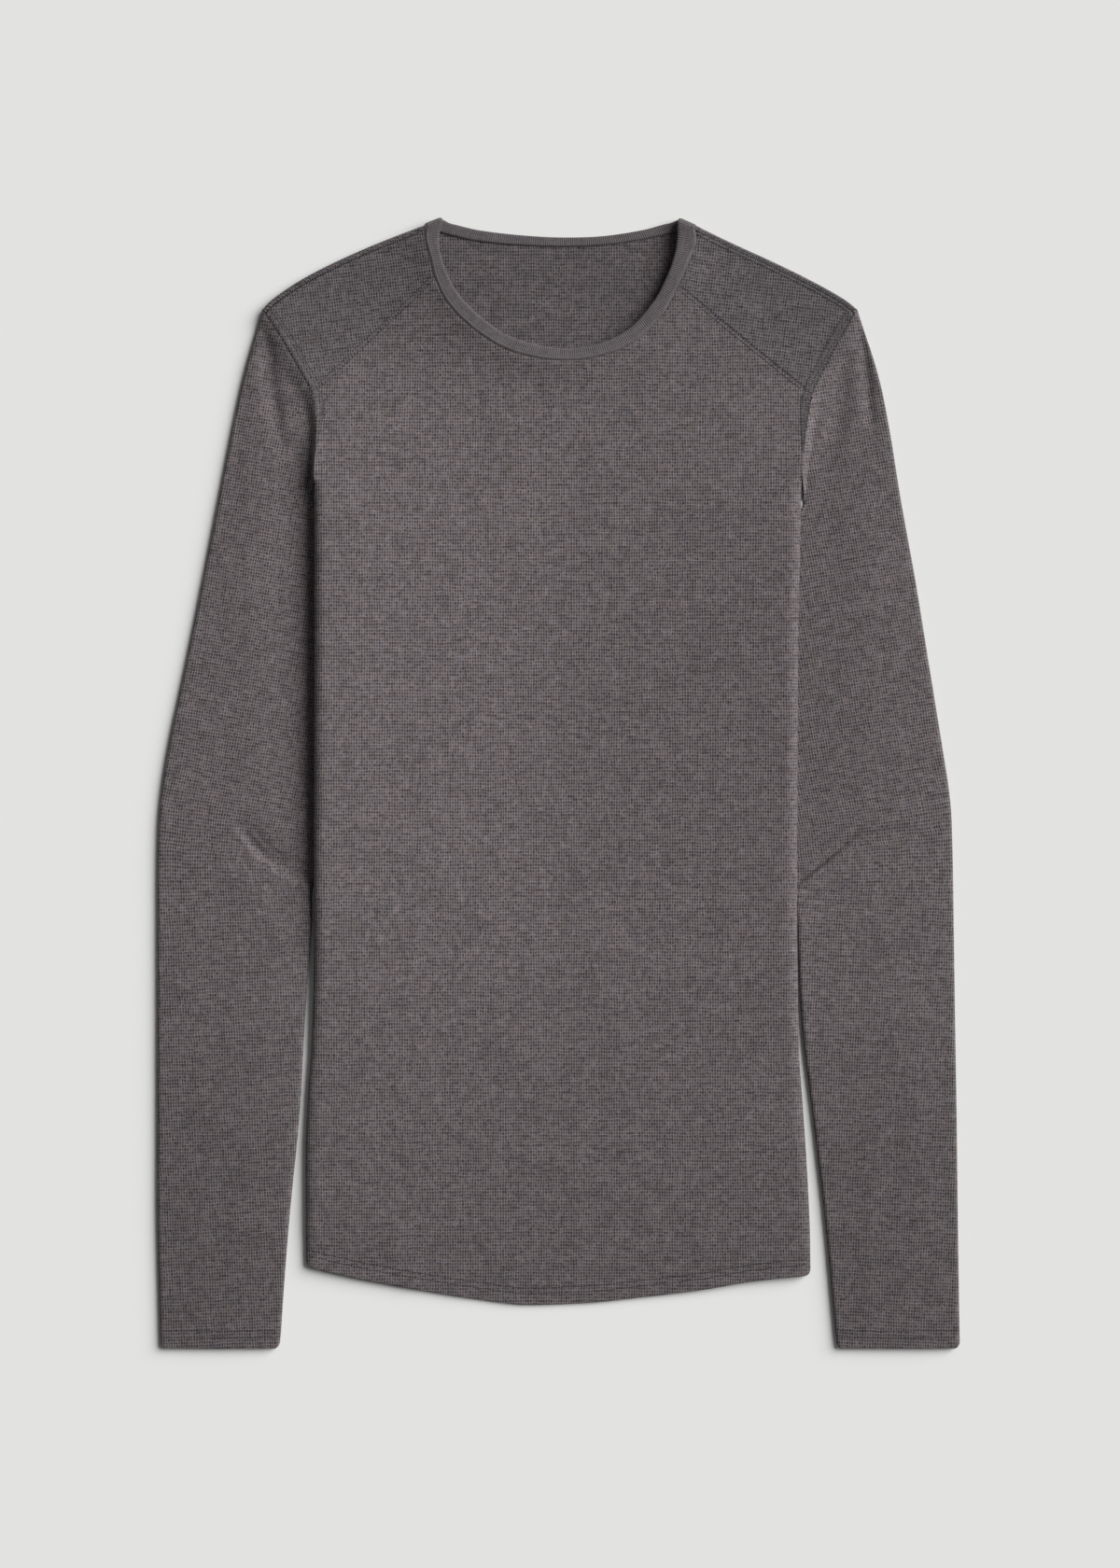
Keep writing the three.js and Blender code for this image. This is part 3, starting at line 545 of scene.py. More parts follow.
def cloth_from(name: str, grid: Grid, uv: Array, thickness: float, outwards: float) -> bpy.types.Object:
    """Makes a sheet of cloth from a flat grid primitive that is laid on the given points.

    Args:
        name: the piece's name.
        grid: rows of columns of points of the outer surface.
        uv: the same for the flat cloth, in metres.
        thickness: the cloth's thickness, inwards from the outer surface.
        outwards: 1 where columns to rows turn by the right hand, -1 where the other way.

    Returns:
        The finished sheet.
    """
    rows, columns = grid.shape[:2]
    bpy.ops.object.select_all(action="DESELECT")
    bpy.ops.mesh.primitive_grid_add(x_subdivisions=columns - 1, y_subdivisions=rows - 1, size=1)
    obj = bpy.context.object
    obj.name = obj.data.name = name
    mesh = obj.data
    flat = np.empty(len(mesh.vertices) * 3)
    mesh.vertices.foreach_get("co", flat)
    flat = flat.reshape(-1, 3)
    column = np.rint((flat[:, 0] + 0.5) * (columns - 1)).astype(int)
    row = np.rint((flat[:, 1] + 0.5) * (rows - 1)).astype(int)
    mesh.vertices.foreach_set("co", grid[row, column].ravel())
    corners = np.empty(len(mesh.loops), int)
    mesh.loops.foreach_get("vertex_index", corners)
    mesh.uv_layers[0].name = "Cloth"
    mesh.uv_layers[0].data.foreach_set("uv", uv[row, column][corners].ravel())
    mesh.update()
    only(obj)
    bpy.ops.object.mode_set(mode="EDIT")
    bpy.ops.mesh.select_all(action="SELECT")
    bpy.ops.mesh.remove_doubles(threshold=0.004 * MM)
    if outwards < 0:
        bpy.ops.mesh.flip_normals()
    bpy.ops.object.mode_set(mode="OBJECT")
    solid = obj.modifiers.new("thickness", "SOLIDIFY")
    solid.thickness = thickness
    solid.offset = -1
    apply_all(obj)
    places = np.empty(len(mesh.vertices) * 3)
    mesh.vertices.foreach_get("co", places)
    places[2::3] = np.maximum(0, places[2::3])
    mesh.vertices.foreach_set("co", places)
    mesh.update()
    bpy.ops.object.shade_smooth_by_angle(angle=math.radians(48))
    return obj


def turned_edge(grid: Grid, normals: Array, away: Array, radius: float, turn: float) -> Grid:
    """Returns the rows that turn a sheet's first row under, for a hem.

    Args:
        grid: the sheet's points, whose first row lies one radius short of the finished edge.
        normals: outward normals of the first row.
        away: unit vectors from the sheet over the edge.
        radius: half the hem's thickness.
        turn: how far the turned cloth reaches back.

    Returns:
        The turned rows, the innermost first.
    """
    edge = grid[0]
    centre = edge - normals * radius
    rows = [centre - normals * radius - away * (turn - radius), centre - normals * radius - away * turn / 2]
    for degrees in (-90, -60, -30, 0, 30, 60):
        angle = math.radians(degrees)
        rows.append(centre + radius * (math.cos(angle) * away + math.sin(angle) * normals))
    return np.stack(rows)


@dataclass
class Stitching:
    """Rows of short threads that lie along seams, all copies of one arched thread."""

    name: str
    length: float = 2.2 * MM
    thick: float = 0.55 * MM
    share: float = 0.8
    rung: float = 1.3 * MM
    parts: list[tuple[Array, Array, Array]] = field(default_factory=list)

    def template(self) -> tuple[Array, list[tuple[int, ...]]]:
        """Models one thread along X, arched, with its ends let into the cloth."""
        bpy.ops.object.select_all(action="DESELECT")
        bpy.ops.mesh.primitive_cylinder_add(
            vertices=5, radius=0.5, depth=1, end_fill_type="TRIFAN", rotation=(0, math.pi / 2, 0)
        )
        obj = bpy.context.object
        only(obj)
        bpy.ops.object.transform_apply(location=False, rotation=True, scale=False)
        bpy.ops.object.mode_set(mode="EDIT")
        bpy.ops.mesh.select_all(action="SELECT")
        for place in (-0.25, 0.0, 0.25):
            bpy.ops.mesh.select_all(action="SELECT")
            bpy.ops.mesh.bisect(plane_co=(place, 0, 0), plane_no=(1, 0, 0))
        bpy.ops.object.mode_set(mode="OBJECT")
        points = np.array([vertex.co for vertex in obj.data.vertices])
        faces = [tuple(face.vertices) for face in obj.data.polygons]
        bpy.data.objects.remove(obj)
        arch = 1 - (2 * points[:, 0]) ** 2
        points[:, 1:] *= (0.55 + 0.45 * np.sqrt(np.clip(arch, 0, 1)))[:, None]
        points[:, 2] += 0.45 * arch - 0.3
        return points, faces

    def row(self, line: Array, up: Array, lead: float = 0.0) -> None:
        """Lays one row of threads along a line on the cloth.

        Args:
            line: points of the line.
            up: the cloth's outward normals there.
            lead: share of a stitch by which the row starts late.
        """
        run = np.concatenate([[0], np.cumsum(np.linalg.norm(np.diff(line, axis=0), axis=1))])
        count = max(1, int(run[-1] / self.length - lead))
        starts = (np.arange(count) + lead) * run[-1] / (count + lead)
        ends = starts + self.length * self.share
        a = np.stack([np.interp(starts, run, line[:, k]) for k in range(3)], -1)
        b = np.stack([np.interp(ends, run, line[:, k]) for k in range(3)], -1)
        self.threads(a, b, np.stack([np.interp(starts, run, up[:, k]) for k in range(3)], -1))

    def band(self, near: tuple[Array, Array], far: tuple[Array, Array]) -> None:
        """Lays a covering seam: a row on either line and threads across between them.

        Args:
            near: points and normals of the first line.
            far: the same for the second line.
        """
        self.row(*near)
        self.row(*far, lead=0.5)
        run = np.concatenate([[0], np.cumsum(np.linalg.norm(np.diff(near[0], axis=0), axis=1))])
        share = steps(0.01, 0.99, int(run[-1] / self.rung)) * run[-1]

        def read(column: Array) -> Array:
            return np.stack([np.interp(share, run, column[:, k]) for k in range(3)], -1)

        a, b, up = read(near[0]), read(far[0]), read(near[1] + far[1])
        middle = (a + b) / 2 + unit(up) * 0.1 * MM
        self.threads(a, middle, up, light=True)
        self.threads(middle, b, up, light=True)

    def threads(self, a: Array, b: Array, up: Array, light: bool = False) -> None:
        """Adds threads from points a to points b, with the cloth's normals and the yarn's shade."""
        self.parts.append((np.stack([a, b], 1), unit(up), np.full(len(a), light)))

    def build(self) -> bpy.types.Object:
        """Joins all threads into one piece and returns it."""
        points, faces = self.template()
        ends = np.concatenate([part[0] for part in self.parts])
        up = np.concatenate([part[1] for part in self.parts])
        light = np.concatenate([part[2] for part in self.parts])
        run = ends[:, 1] - ends[:, 0]
        length = np.linalg.norm(run, axis=-1, keepdims=True)
        along = run / length
        side = unit(np.cross(up, along))
        up = np.cross(along, side)
        middle = ends.mean(axis=1)
        wide = self.thick
        placed = (
            middle[:, None]
            + points[None, :, :1] * (length * 1.06)[:, None] * along[:, None]
            + points[None, :, 1:2] * wide * side[:, None]
            + points[None, :, 2:] * wide * up[:, None]
        )
        count = len(points)
        mesh = bpy.data.meshes.new(self.name)
        joined = [tuple(i + k * count for i in face) for k in range(len(ends)) for face in faces]
        mesh.from_pydata(placed.reshape(-1, 3).tolist(), [], joined)
        mesh.materials.append(None)
        mesh.materials.append(None)
        mesh.polygons.foreach_set("material_index", np.repeat(light.astype(int), len(faces)))
        layer = mesh.uv_layers.new(name="Cloth")
        corners = np.empty(len(mesh.loops), int)
        mesh.loops.foreach_get("vertex_index", corners)
        flat = np.stack([placed[..., 0] + placed[..., 2], placed[..., 1]], -1).reshape(-1, 2)
        layer.data.foreach_set("uv", flat[corners].ravel())
        obj = bpy.data.objects.new(self.name, mesh)
        bpy.context.scene.collection.objects.link(obj)
        only(obj)
        bpy.ops.object.shade_smooth()
        return obj


ARC = np.radians([0, 12, 26, 40, 54, 68, 80, 90])


@dataclass
class BodyPiece:
    """What the panels of the body share: their cloth, hem and height."""

    lay: Layout = LAY
    cloth: float = 0.7 * MM
    hem_radius: float = 0.68 * MM
    seam_dip: float = 0.22 * MM
    body_width: float = 336 * MM
    corner: float = 3.6 * MM

    def side_shares(self) -> Array:
        """Returns the shares of a row's width that round a side fold."""
        return self.lay.fold_radius * (1 - np.cos(ARC)) / self.body_width

    def hem_line(self, u: Array) -> Array:
        """Returns the hem's points from the wearer's right to left."""
        right = float(self.lay.edge(Side.RIGHT, -325 * MM))
        left = float(self.lay.edge(Side.LEFT, -331 * MM))
        x = right + (left - right) * u
        corner = rounded(np.minimum(x - right, left - x), self.corner)
        return np.stack([x, self.lay.hem(x) + self.hem_radius + corner], -1)

    def side_line(self, side: Side, hem: Array, top: float, v: Array) -> Array:
        """Returns the points of a side edge from the hem to the given height."""
        y = hem[1] + (top - hem[1]) * v
        return np.stack([self.lay.edge(side, y), y], -1)

    def laid(self, plan: Grid, layer: float) -> Grid:
        """Gives a plan grid its height, rounded over the side folds.

        Args:
            plan: x and y of the points.
            layer: 1 for the front's outer surface, -1 for the back's.

        Returns:
            The points of the outer surface.
        """
        x, y = plan[..., 0], plan[..., 1]
        base = self.lay.back_base(x, y)
        height = self.lay.front_top(x, y) - base
        near = np.clip(1 - self.lay.side_distance(x, y) / self.lay.fold_radius, 0, 1)
        drop = 1 - np.sqrt(1 - near**2)
        share = 1 - ease(y - self.lay.underarm + 6 * MM, 0, 6 * MM)
        half = height / 2 - share * (height / 2 - 0.05 * MM) * drop
        return np.stack([x, y, base + height / 2 + layer * half], -1)

    def upper(self, line: Array) -> tuple[Array, Array]:
        """Lays a plan line on the front's outer surface and returns its points and normals."""
        return on_surface(lambda plan: self.laid(plan, 1), line)

    def slant(self, side: Side, above: float) -> tuple[Array, Array]:
        """Returns a line beside a slanting yoke seam, above it or, if negative, below it."""
        low = np.array([float(self.lay.edge(side, YOKE_END[side])), YOKE_END[side]])
        high = NECK_SEAM.at(YOKE_START[side])
        share = steps(0.075, 0.985, 60)[:, None]
        return self.upper(beside(low * (1 - share) + high * share, above * -side.sign))

    def armhole(self, side: Side, low: float, high: float, inside: float) -> tuple[Array, Array]:
        """Returns a line inside an armhole seam, between two places up the garment."""
        y = steps(low, high, 60)
        line = np.stack([self.lay.edge(side, y), y], -1)
        hidden = 0.12 + 0.88 * ease(y, self.lay.underarm + 16 * MM, self.lay.underarm + 54 * MM)
        return self.upper(line + (beside(line, inside * side.sign) - line) * hidden[:, None])

    def with_hem(self, grid: Grid, layer: float) -> Grid:
        """Adds the turned hem below a panel's first row."""
        normals = normals_of(grid)[0] * layer
        normals[:, 1] = 0
        normals = unit(normals)
        away = np.broadcast_to(np.array([0.0, -1.0, 0.0]), normals.shape)
        return np.concatenate([turned_edge(grid, normals, away, self.hem_radius, self.lay.turn), grid])


@dataclass
class FrontPanel(BodyPiece):
    """The body front, from the hem to the neck binding and the slanting yoke seams."""

    rows: int = 170
    slant_columns: int = 22
    neck_columns: int = 48
    yoke_share: float = 0.25
    groove: float = 0.5 * MM
    hem_rows: tuple[float, ...] = (7.8 * MM, 11.6 * MM)
    band_start: float = 223 * MM

    def sewing(self) -> bpy.types.Object:
        """Sews the hem, the lower armholes and the front's side of the slanting seams."""
        threads = Stitching("front_stitching")
        x = steps(self.lay.edge(Side.RIGHT, -325 * MM) + 2 * MM, self.lay.edge(Side.LEFT, -331 * MM) - 2 * MM, 200)
        for reach in self.hem_rows:
            threads.row(*self.upper(np.stack([x, self.lay.hem(x) + reach], -1)))
        for side in Side:
            threads.row(*self.slant(side, -SLANT_ROW))
            threads.band(*(self.armhole(side, self.band_start, YOKE_END[side], at) for at in ARMHOLE_BAND))
        return threads.build()

    def top_line(self, u: Array) -> Array:
        """Returns the points of the slanting seams and the neck seam between them."""
        lay, share = self.lay, self.yoke_share
        ends = {side: np.array([float(lay.edge(side, y)), y]) for side, y in YOKE_END.items()}
        starts = {side: NECK_SEAM.at(at) for side, at in YOKE_START.items()}
        right = np.clip(u / share, 0, 1)[:, None]
        left = np.clip((1 - u) / share, 0, 1)[:, None]
        neck = YOKE_START[Side.RIGHT] + (u - share) / (1 - 2 * share) * (
            YOKE_START[Side.LEFT] - YOKE_START[Side.RIGHT]
        )
        points = NECK_SEAM.at(neck)
        slant_right = ends[Side.RIGHT] * (1 - right) + starts[Side.RIGHT] * right
        slant_left = ends[Side.LEFT] * (1 - left) + starts[Side.LEFT] * left
        points = np.where((u < share)[:, None], slant_right, points)
        return np.where((u > 1 - share)[:, None], slant_left, points)

    def plan(self) -> tuple[Grid, Array]:
        """Returns the panel's plan grid and the columns' shares."""
        sides = self.side_shares()
        slant = np.linspace(0.026, self.yoke_share, self.slant_columns)[:-1]
        neck = steps(self.yoke_share, 1 - self.yoke_share, self.neck_columns)
        u = np.concatenate([sides, slant, neck, 1 - slant[::-1], 1 - sides[::-1]])
        low, high = self.hem_line(u), self.top_line(u)
        v = np.unique(np.concatenate([steps(0, 0.03, 10), steps(0.03, 0.97, self.rows), steps(0.97, 1, 12)]))
        start = self.side_line(Side.RIGHT, low[0], float(high[0, 1]), v)
        end = self.side_line(Side.LEFT, low[-1], float(high[-1, 1]), v)
        return spanned(low, high, start, end, u, v), u

    def build(self) -> list[bpy.types.Object]:
        """Builds the panel and its stitching."""
        plan, u = self.plan()
        grid = self.laid(drawn_in(plan, 0, 0.05 * MM, 0.1 * MM, 0.1 * MM), 1)
        on_neck = (u > self.yoke_share) & (u < 1 - self.yoke_share)
        run = run_lengths(grid, 0)
        from_top = run[-1] - run
        dip = 1 - ease(from_top, 0.3 * MM, 2.4 * MM)
        seam = 1 - ease(from_top, 0.1 * MM, 1.5 * MM)
        grid[..., 2] -= np.where(on_neck, self.groove * dip, self.seam_dip * seam)
        grid = self.with_hem(grid, 1)
        uv = self.flat_cloth(grid)
        obj, sewing = cloth_from("front_cloth", grid, uv, self.cloth, 1), self.sewing()
        return [obj, sewing]

    @staticmethod
    def flat_cloth(grid: Grid) -> Array:
        """Returns the cloth's flat places: along the knit's rows and up its columns."""
        return unrolled(grid, grid[..., 0], grid[..., 1], grid.shape[1] // 2)


@dataclass
class BackPanel(BodyPiece):
    """The back, from the hem to the neck and over both shoulder folds to the shoulder seams."""

    rows: int = 120
    shoulder_columns: int = 24
    neck_columns: int = 34
    shoulder_share: float = 0.3

    def top_line(self, u: Array) -> tuple[Array, Array, Array]:
        """Returns the top edge's points, the way inwards there and where it is a shoulder."""
        share = self.shoulder_share
        from_neck = np.clip(1 - np.minimum(u, 1 - u) / share, 0, 1)
        right, left = shoulder_route(Side.RIGHT), shoulder_route(Side.LEFT)
        neck = np.clip((u - share) / (1 - 2 * share), 0, 1)
        neck_points = BACK_SEAM.at(0.02 + 0.96 * neck)
        corner = ease(np.minimum(neck, 1 - neck), 0, 0.05)[:, None]
        side = np.where(neck < 0.5, -1.0, 1.0)
        corner_points = np.stack([side * 88.8 * MM, np.full_like(u, 373.4 * MM)], -1)
        neck_points = corner_points * (1 - corner) + neck_points * corner
        is_right, is_left = (u <= share)[:, None], (u >= 1 - share)[:, None]
        points = np.where(is_right, right.at(from_neck), neck_points)
        points = np.where(is_left, left.at(from_neck), points)
        inwards = np.where(is_right, inwards_of(right, from_neck), np.array([0.0, -1.0]))
        inwards = np.where(is_left, inwards_of(left, from_neck), inwards)
        return points, inwards, (is_right | is_left)[:, 0]

    def build(self) -> list[bpy.types.Object]:
        """Builds the panel."""
        lay, share = self.lay, self.shoulder_share
        sides = self.side_shares()
        shoulder = np.linspace(0.026, share, self.shoulder_columns)
        neck = steps(share + 0.006, 1 - share - 0.006, self.neck_columns)
        u = np.concatenate([sides, shoulder, neck, 1 - shoulder[::-1], 1 - sides[::-1]])
        points, inwards, on_shoulder = self.top_line(u)
        high = points + inwards * np.where(on_shoulder, lay.shoulder_radius, 3 * MM)[:, None]
        low = self.hem_line(u)
        v = np.unique(np.concatenate([steps(0, 0.03, 8), steps(0.03, 1, self.rows)]))
        start = self.side_line(Side.RIGHT, low[0], float(high[0, 1]), v)
        end = self.side_line(Side.LEFT, low[-1], float(high[-1, 1]), v)
        plan = drawn_in(spanned(low, high, start, end, u, v), 0, 0, 0.1 * MM, 0.1 * MM)
        grid = self.laid(plan, -1)
        rows = []
        base = lay.back_base(points[:, 0], points[:, 1])
        height = lay.front_top(points[:, 0], points[:, 1]) - base
        turns = np.radians([-68, -45, -22, 0, 22, 45, 68, 90, 90])
        for k, angle in enumerate(turns):
            reach = lay.shoulder_radius * (1 - math.cos(angle))
            reach += (lay.back_wrap - lay.shoulder_radius - 0.1 * MM) * (k == len(turns) - 1)
            over = np.concatenate(
                [
                    points + inwards * reach,
                    (base + height / 2 * (1 + math.sin(angle)))[:, None],
                ],
                -1,
            )
            left_over = 3 * MM * (1 - (k + 1) / len(turns))
            flat = np.concatenate([points + inwards * left_over, base[:, None]], -1)
            rows.append(np.where(on_shoulder[:, None], over, flat))
        grid = self.with_hem(np.concatenate([grid, np.stack(rows)]), -1)
        uv = FrontPanel.flat_cloth(grid)
        obj = cloth_from("back_cloth", grid, uv, self.cloth, -1)
        return [obj]


@dataclass
class ShoulderPanel(BodyPiece):
    """A front yoke between the neck, the shoulder seam, the armhole and the slanting seam."""

    side: Side = Side.RIGHT
    columns: int = 46
    rows: int = 40
    neck_end: float = 0.012
    groove: float = 0.5 * MM
    band_end: float = 315 * MM
    shoulder_band: ClassVar[dict[Side, tuple[float, float]]] = {
        Side.RIGHT: (0.5 * MM, 4.2 * MM),
        Side.LEFT: (2.0 * MM, 6.0 * MM),
    }

    def over_shoulder(self, inside: float) -> tuple[Array, Array]:
        """Returns a line along the shoulder, at a distance inside its fold.

        Args:
            inside: the distance, which may be short enough to lie on the fold's rounding.

        Returns:
            The line's points and the cloth's normals there.
        """
        lay, route, share = self.lay, shoulder_route(self.side), steps(0.05, 0.965, 80)
        edge, inwards = route.at(share), inwards_of(route, share)
        plan = edge + inwards * inside
        if inside > lay.shoulder_radius:
            return self.upper(plan)
        lean = math.acos(1 - inside / lay.shoulder_radius)
        base = lay.back_base(edge[:, 0], edge[:, 1])
        half = (lay.front_top(edge[:, 0], edge[:, 1]) - base) / 2
        points = np.concatenate([plan, (base + half * (1 + math.sin(lean)))[:, None]], -1)
        normals = np.concatenate([-inwards * math.cos(lean), np.full((len(plan), 1), math.sin(lean))], -1)
        return points, normals

    def sewing(self) -> bpy.types.Object:
        """Sews the yoke's side of the slanting seam, the upper armhole and the shoulder."""
        threads = Stitching(f"{self.side.value}_yoke_stitching")
        threads.row(*self.slant(self.side, SLANT_ROW), lead=0.5)
        armhole = (self.armhole(self.side, YOKE_END[self.side], self.band_end, at) for at in ARMHOLE_BAND)
        threads.band(*armhole)
        threads.band(*(self.over_shoulder(at) for at in self.shoulder_band[self.side]))
        return threads.build()

    def build(self) -> list[bpy.types.Object]:
        """Builds the panel and its stitching."""
        lay, side = self.lay, self.side
        u, v = steps(0, 1, self.columns), steps(0, 1, self.rows)
        start_at = YOKE_START[side]
        end_at = self.neck_end if side is Side.RIGHT else 1 - self.neck_end
        neck = NECK_SEAM.at(start_at + (end_at - start_at) * v)
        y = YOKE_END[side] + (lay.shoulder_tip - lay.back_wrap - YOKE_END[side]) * v
        armhole = np.stack([lay.edge(side, y), y], -1)
        low = neck[0] + (armhole[0] - neck[0]) * u[:, None]
        route = shoulder_route(side)
        high = route.at(u) + inwards_of(route, u) * lay.back_wrap
        high += (neck[-1] - high[0]) * (1 - ease(u, 0, 0.15))[:, None]
        plan = drawn_in(spanned(low, high, neck, armhole, u, v), 0.05 * MM, 0.1 * MM, 0.05 * MM, 0.1 * MM)
        grid = self.laid(plan, 1)
        run = run_lengths(grid, 1)
        grid[..., 2] -= self.groove * (1 - ease(run, 0.3 * MM, 2.4 * MM))
        run = run_lengths(grid, 0)
        grid[..., 2] -= self.seam_dip * (1 - ease(np.minimum(run, run[-1] - run), 0.1 * MM, 1.5 * MM))
        uv = self.flat_cloth(grid)
        obj = cloth_from(f"{side.value}_yoke_cloth", grid, uv, self.cloth, side.sign)
        sewing = self.sewing()
        return [obj, sewing]

    def flat_cloth(self, grid: Grid) -> Array:
        """Returns the flat places, with the knit's rows turned a little down to the armhole."""
        turn = math.radians(7) * -self.side.sign
        x, y = grid[..., 0], grid[..., 1]
        return np.stack([x * math.cos(turn) + y * math.sin(turn), y * math.cos(turn) - x * math.sin(turn)], -1)


@dataclass
class Sleeve:
    """A long sleeve: one tube, flattened, from the armhole to its turned cuff."""

    side: Side
    lay: Layout = LAY
    cloth: float = 0.5 * MM
    loft: float = 3.4 * MM
    least_loft: float = 0.4 * MM
    crown: float = 0.5 * MM
    crown_reach: float = 34 * MM
    cap_reach: float = 16 * MM
    cuff_radius: float = 0.65 * MM
    elbow_shares: tuple[float, float] = (0.47, 0.645)
    elbow_rings: int = 92
    plain_rings: int = 90
    seam_step: float = 0.45 * MM
    fold_radius: float = 2.8 * MM
    dive: float = 3.0 * MM
    dive_reach: float = 45 * MM
    dive_bend: float = 1.15
    elbow_y: float = -66 * MM
    elbow_slope: ClassVar[dict[Side, float]] = {Side.RIGHT: 0.42, Side.LEFT: 0.78}
    corner: float = 4.4 * MM
    upper_lean: float = 9.5
    fore_lean: float = -2.0
    cuff_rows: tuple[float, ...] = (7.6 * MM, 12.2 * MM)

    def __post_init__(self) -> None:
        """Reads the sleeve's folds from its table."""
        rows = SLEEVES[self.side]
        self.outer = Route(rows["outer_x"], rows["outer_y"])
        self.inner = Route(rows["inner_x"], rows["inner_y"])
        y = steps(self.lay.shoulder_tip, self.lay.underarm, 60)
        self.armhole = Route(self.lay.edge(self.side, y), y)

    def place(self, share: Array, v: Array) -> Array:
        """Returns plan points between the outer fold (0) and the inner fold (1).

        Args:
            share: shares across the sleeve.
            v: shares from armhole to cuff, of the same shape.

        Returns:
            The points' x and y.
        """
        share = np.asarray(share, float)
        across = share[..., None]
        straight = self.outer.at(v) * (1 - across) + self.inner.at(v) * across
        seam = self.armhole.spaced(np.clip(share, 0, 1))
        seam[..., 0] += self.side.sign * 0.25 * MM
        chord = self.outer.at(0.0) * (1 - across) + self.inner.at(0.0) * across
        bend = 1 - ease(v, 0, 4 / 14)
        return straight + (seam - chord) * bend[..., None]

    def heights(self, share: Array, v: Array) -> tuple[Array, Array, Array]:
        """Returns plan points with the height of the lower and the upper outer surface."""
        lay = self.lay
        point, start = self.place(share, v), self.place(share, np.zeros_like(v))
        x, y = point[..., 0], point[..., 1]
        width = np.linalg.norm(self.outer.at(v) - self.inner.at(v), axis=-1)
        body_edge = self.side.sign * (x - lay.edge(self.side, y))
        hidden = (y > -66 * MM) & (y < lay.underarm)
        from_inner = (1 - share) * width
        from_inner = np.where(hidden, np.minimum(body_edge, from_inner), from_inner)
        crown = ease(share * width, 0, self.crown_reach) * ease(from_inner, 0, self.crown_reach)
        beside = np.clip(1 - body_edge / self.dive_reach, 0, 1) ** self.dive_bend
        beside = beside * ease(lay.underarm + 30 * MM - y, 0, 40 * MM)
        above_elbow = y - self.elbow_y - self.elbow_slope[self.side] * np.maximum(0, body_edge)
        dive = self.dive * beside * ease(above_elbow, -1.5 * MM, 6 * MM)
        shown = np.where(hidden, ease(body_edge, -2 * MM, 1 * MM), 1.0)
        loft = self.loft + self.crown * crown + shown * crease_rise(SLEEVE_CREASES, x, y)
        own = 2 * self.cloth + np.maximum(self.least_loft, loft - dive)
        near = 1 - ease(np.linalg.norm(point - start, axis=-1), 0, self.cap_reach)
        base = lay.back_base(start[..., 0], start[..., 1]) * near
        cap = lay.front_top(start[..., 0], start[..., 1]) - self.seam_step
        return point, base, own * (1 - near) + cap * near

    def sewing(self) -> bpy.types.Object:
        """Sews the cuff's turned edge."""
        threads = Stitching(f"{self.side.value}_sleeve_stitching")
        fine = steps(0.93, 1, 80)
        reach = self.outer.at(fine)[:, 1] - self.outer.at(1.0)[1]
        share = steps(0.03, 0.97, 60)
        for row in self.cuff_rows:
            v = float(np.interp(row, reach[::-1], fine[::-1]))
            point, _, top = self.heights(share, np.full_like(share, v))
            line = np.concatenate([point, top[:, None]], -1)
            threads.row(line, np.broadcast_to(np.array([0.0, 0.0, 1.0]), line.shape))
        return threads.build()

    def build(self) -> list[bpy.types.Object]:
        """Builds the sleeve and its stitching."""
        lay = self.lay
        bend, straight = self.elbow_shares
        v = [steps(0, 0.08, 22), steps(0.08, bend, self.plain_rings)]
        v += [steps(bend, straight, self.elbow_rings), steps(straight, 1, self.plain_rings)]
        v = np.unique(np.concatenate(v))
        width = np.linalg.norm(self.outer.at(v) - self.inner.at(v), axis=-1)
        reach = self.fold_radius * (1 - np.cos(ARC))
        around, lifts = [], []
        interior = steps(0.04, 0.96, 86)
        low_interior = steps(0, 1, 14)[1:-1]
        for distance, angle in zip(reach, ARC):
            around.append(1 - distance / width)
            lifts.append(-math.sin(angle))
        for share in low_interior[::-1]:
            around.append(np.full_like(v, share))
            lifts.append(-1.0)
        for distance, angle in zip(reach[::-1], ARC[::-1]):
            around.append(distance / width)
            lifts.append(-math.sin(angle))
        for distance, angle in zip(reach[1:], ARC[1:]):
            around.append(distance / width)
            lifts.append(math.sin(angle))
        for share in interior:
            around.append(np.full_like(v, share))
            lifts.append(1.0)
        for distance, angle in zip(reach[::-1], ARC[::-1]):
            around.append(1 - distance / width)
            lifts.append(math.sin(angle))
        share = np.stack(around, -1)
        ring_v = np.broadcast_to(v[:, None], share.shape)
        point, base, top = self.heights(share, ring_v)
        z = (base + top) / 2 + (top - base) / 2 * np.array(lifts)
        grid = np.concatenate([point, z[..., None]], -1)[::-1]
        folds = np.linalg.norm(grid[0, :, :2] - grid[0, :1, :2], axis=-1)
        corner = rounded(np.minimum(folds, folds.max() - folds), self.corner)
        drawn = 1 - ease(grid[..., 1] - grid[:1, :, 1], 0, self.lay.turn)
        grid[..., 1] += (self.cuff_radius + corner) * drawn
        away = np.broadcast_to(np.array([0.0, -1.0, 0.0]), grid[0].shape)
        normals = normals_of(grid)[0] * -self.side.sign
        normals[:, 1] = 0
        normals[0] = normals[-1] = np.array([-self.side.sign, 0, 0])
        grid = np.concatenate(
            [turned_edge(grid, unit(normals), away, self.cuff_radius, lay.turn), grid]
        )
        uv = self.flat_cloth(grid)
        obj = cloth_from(f"{self.side.value}_sleeve_cloth", grid, uv, self.cloth, -self.side.sign)
        sewing = self.sewing()
        return [obj, sewing]

    def flat_cloth(self, grid: Grid) -> Array:
        """Returns the flat places: round the sleeve, and along it with a bend at the elbow."""
        elbow = self.side.sign * 206 * MM, -45 * MM
        x, y = grid[..., 0] - elbow[0], grid[..., 1] - elbow[1]
        mix = ease(y, -50 * MM, 50 * MM)

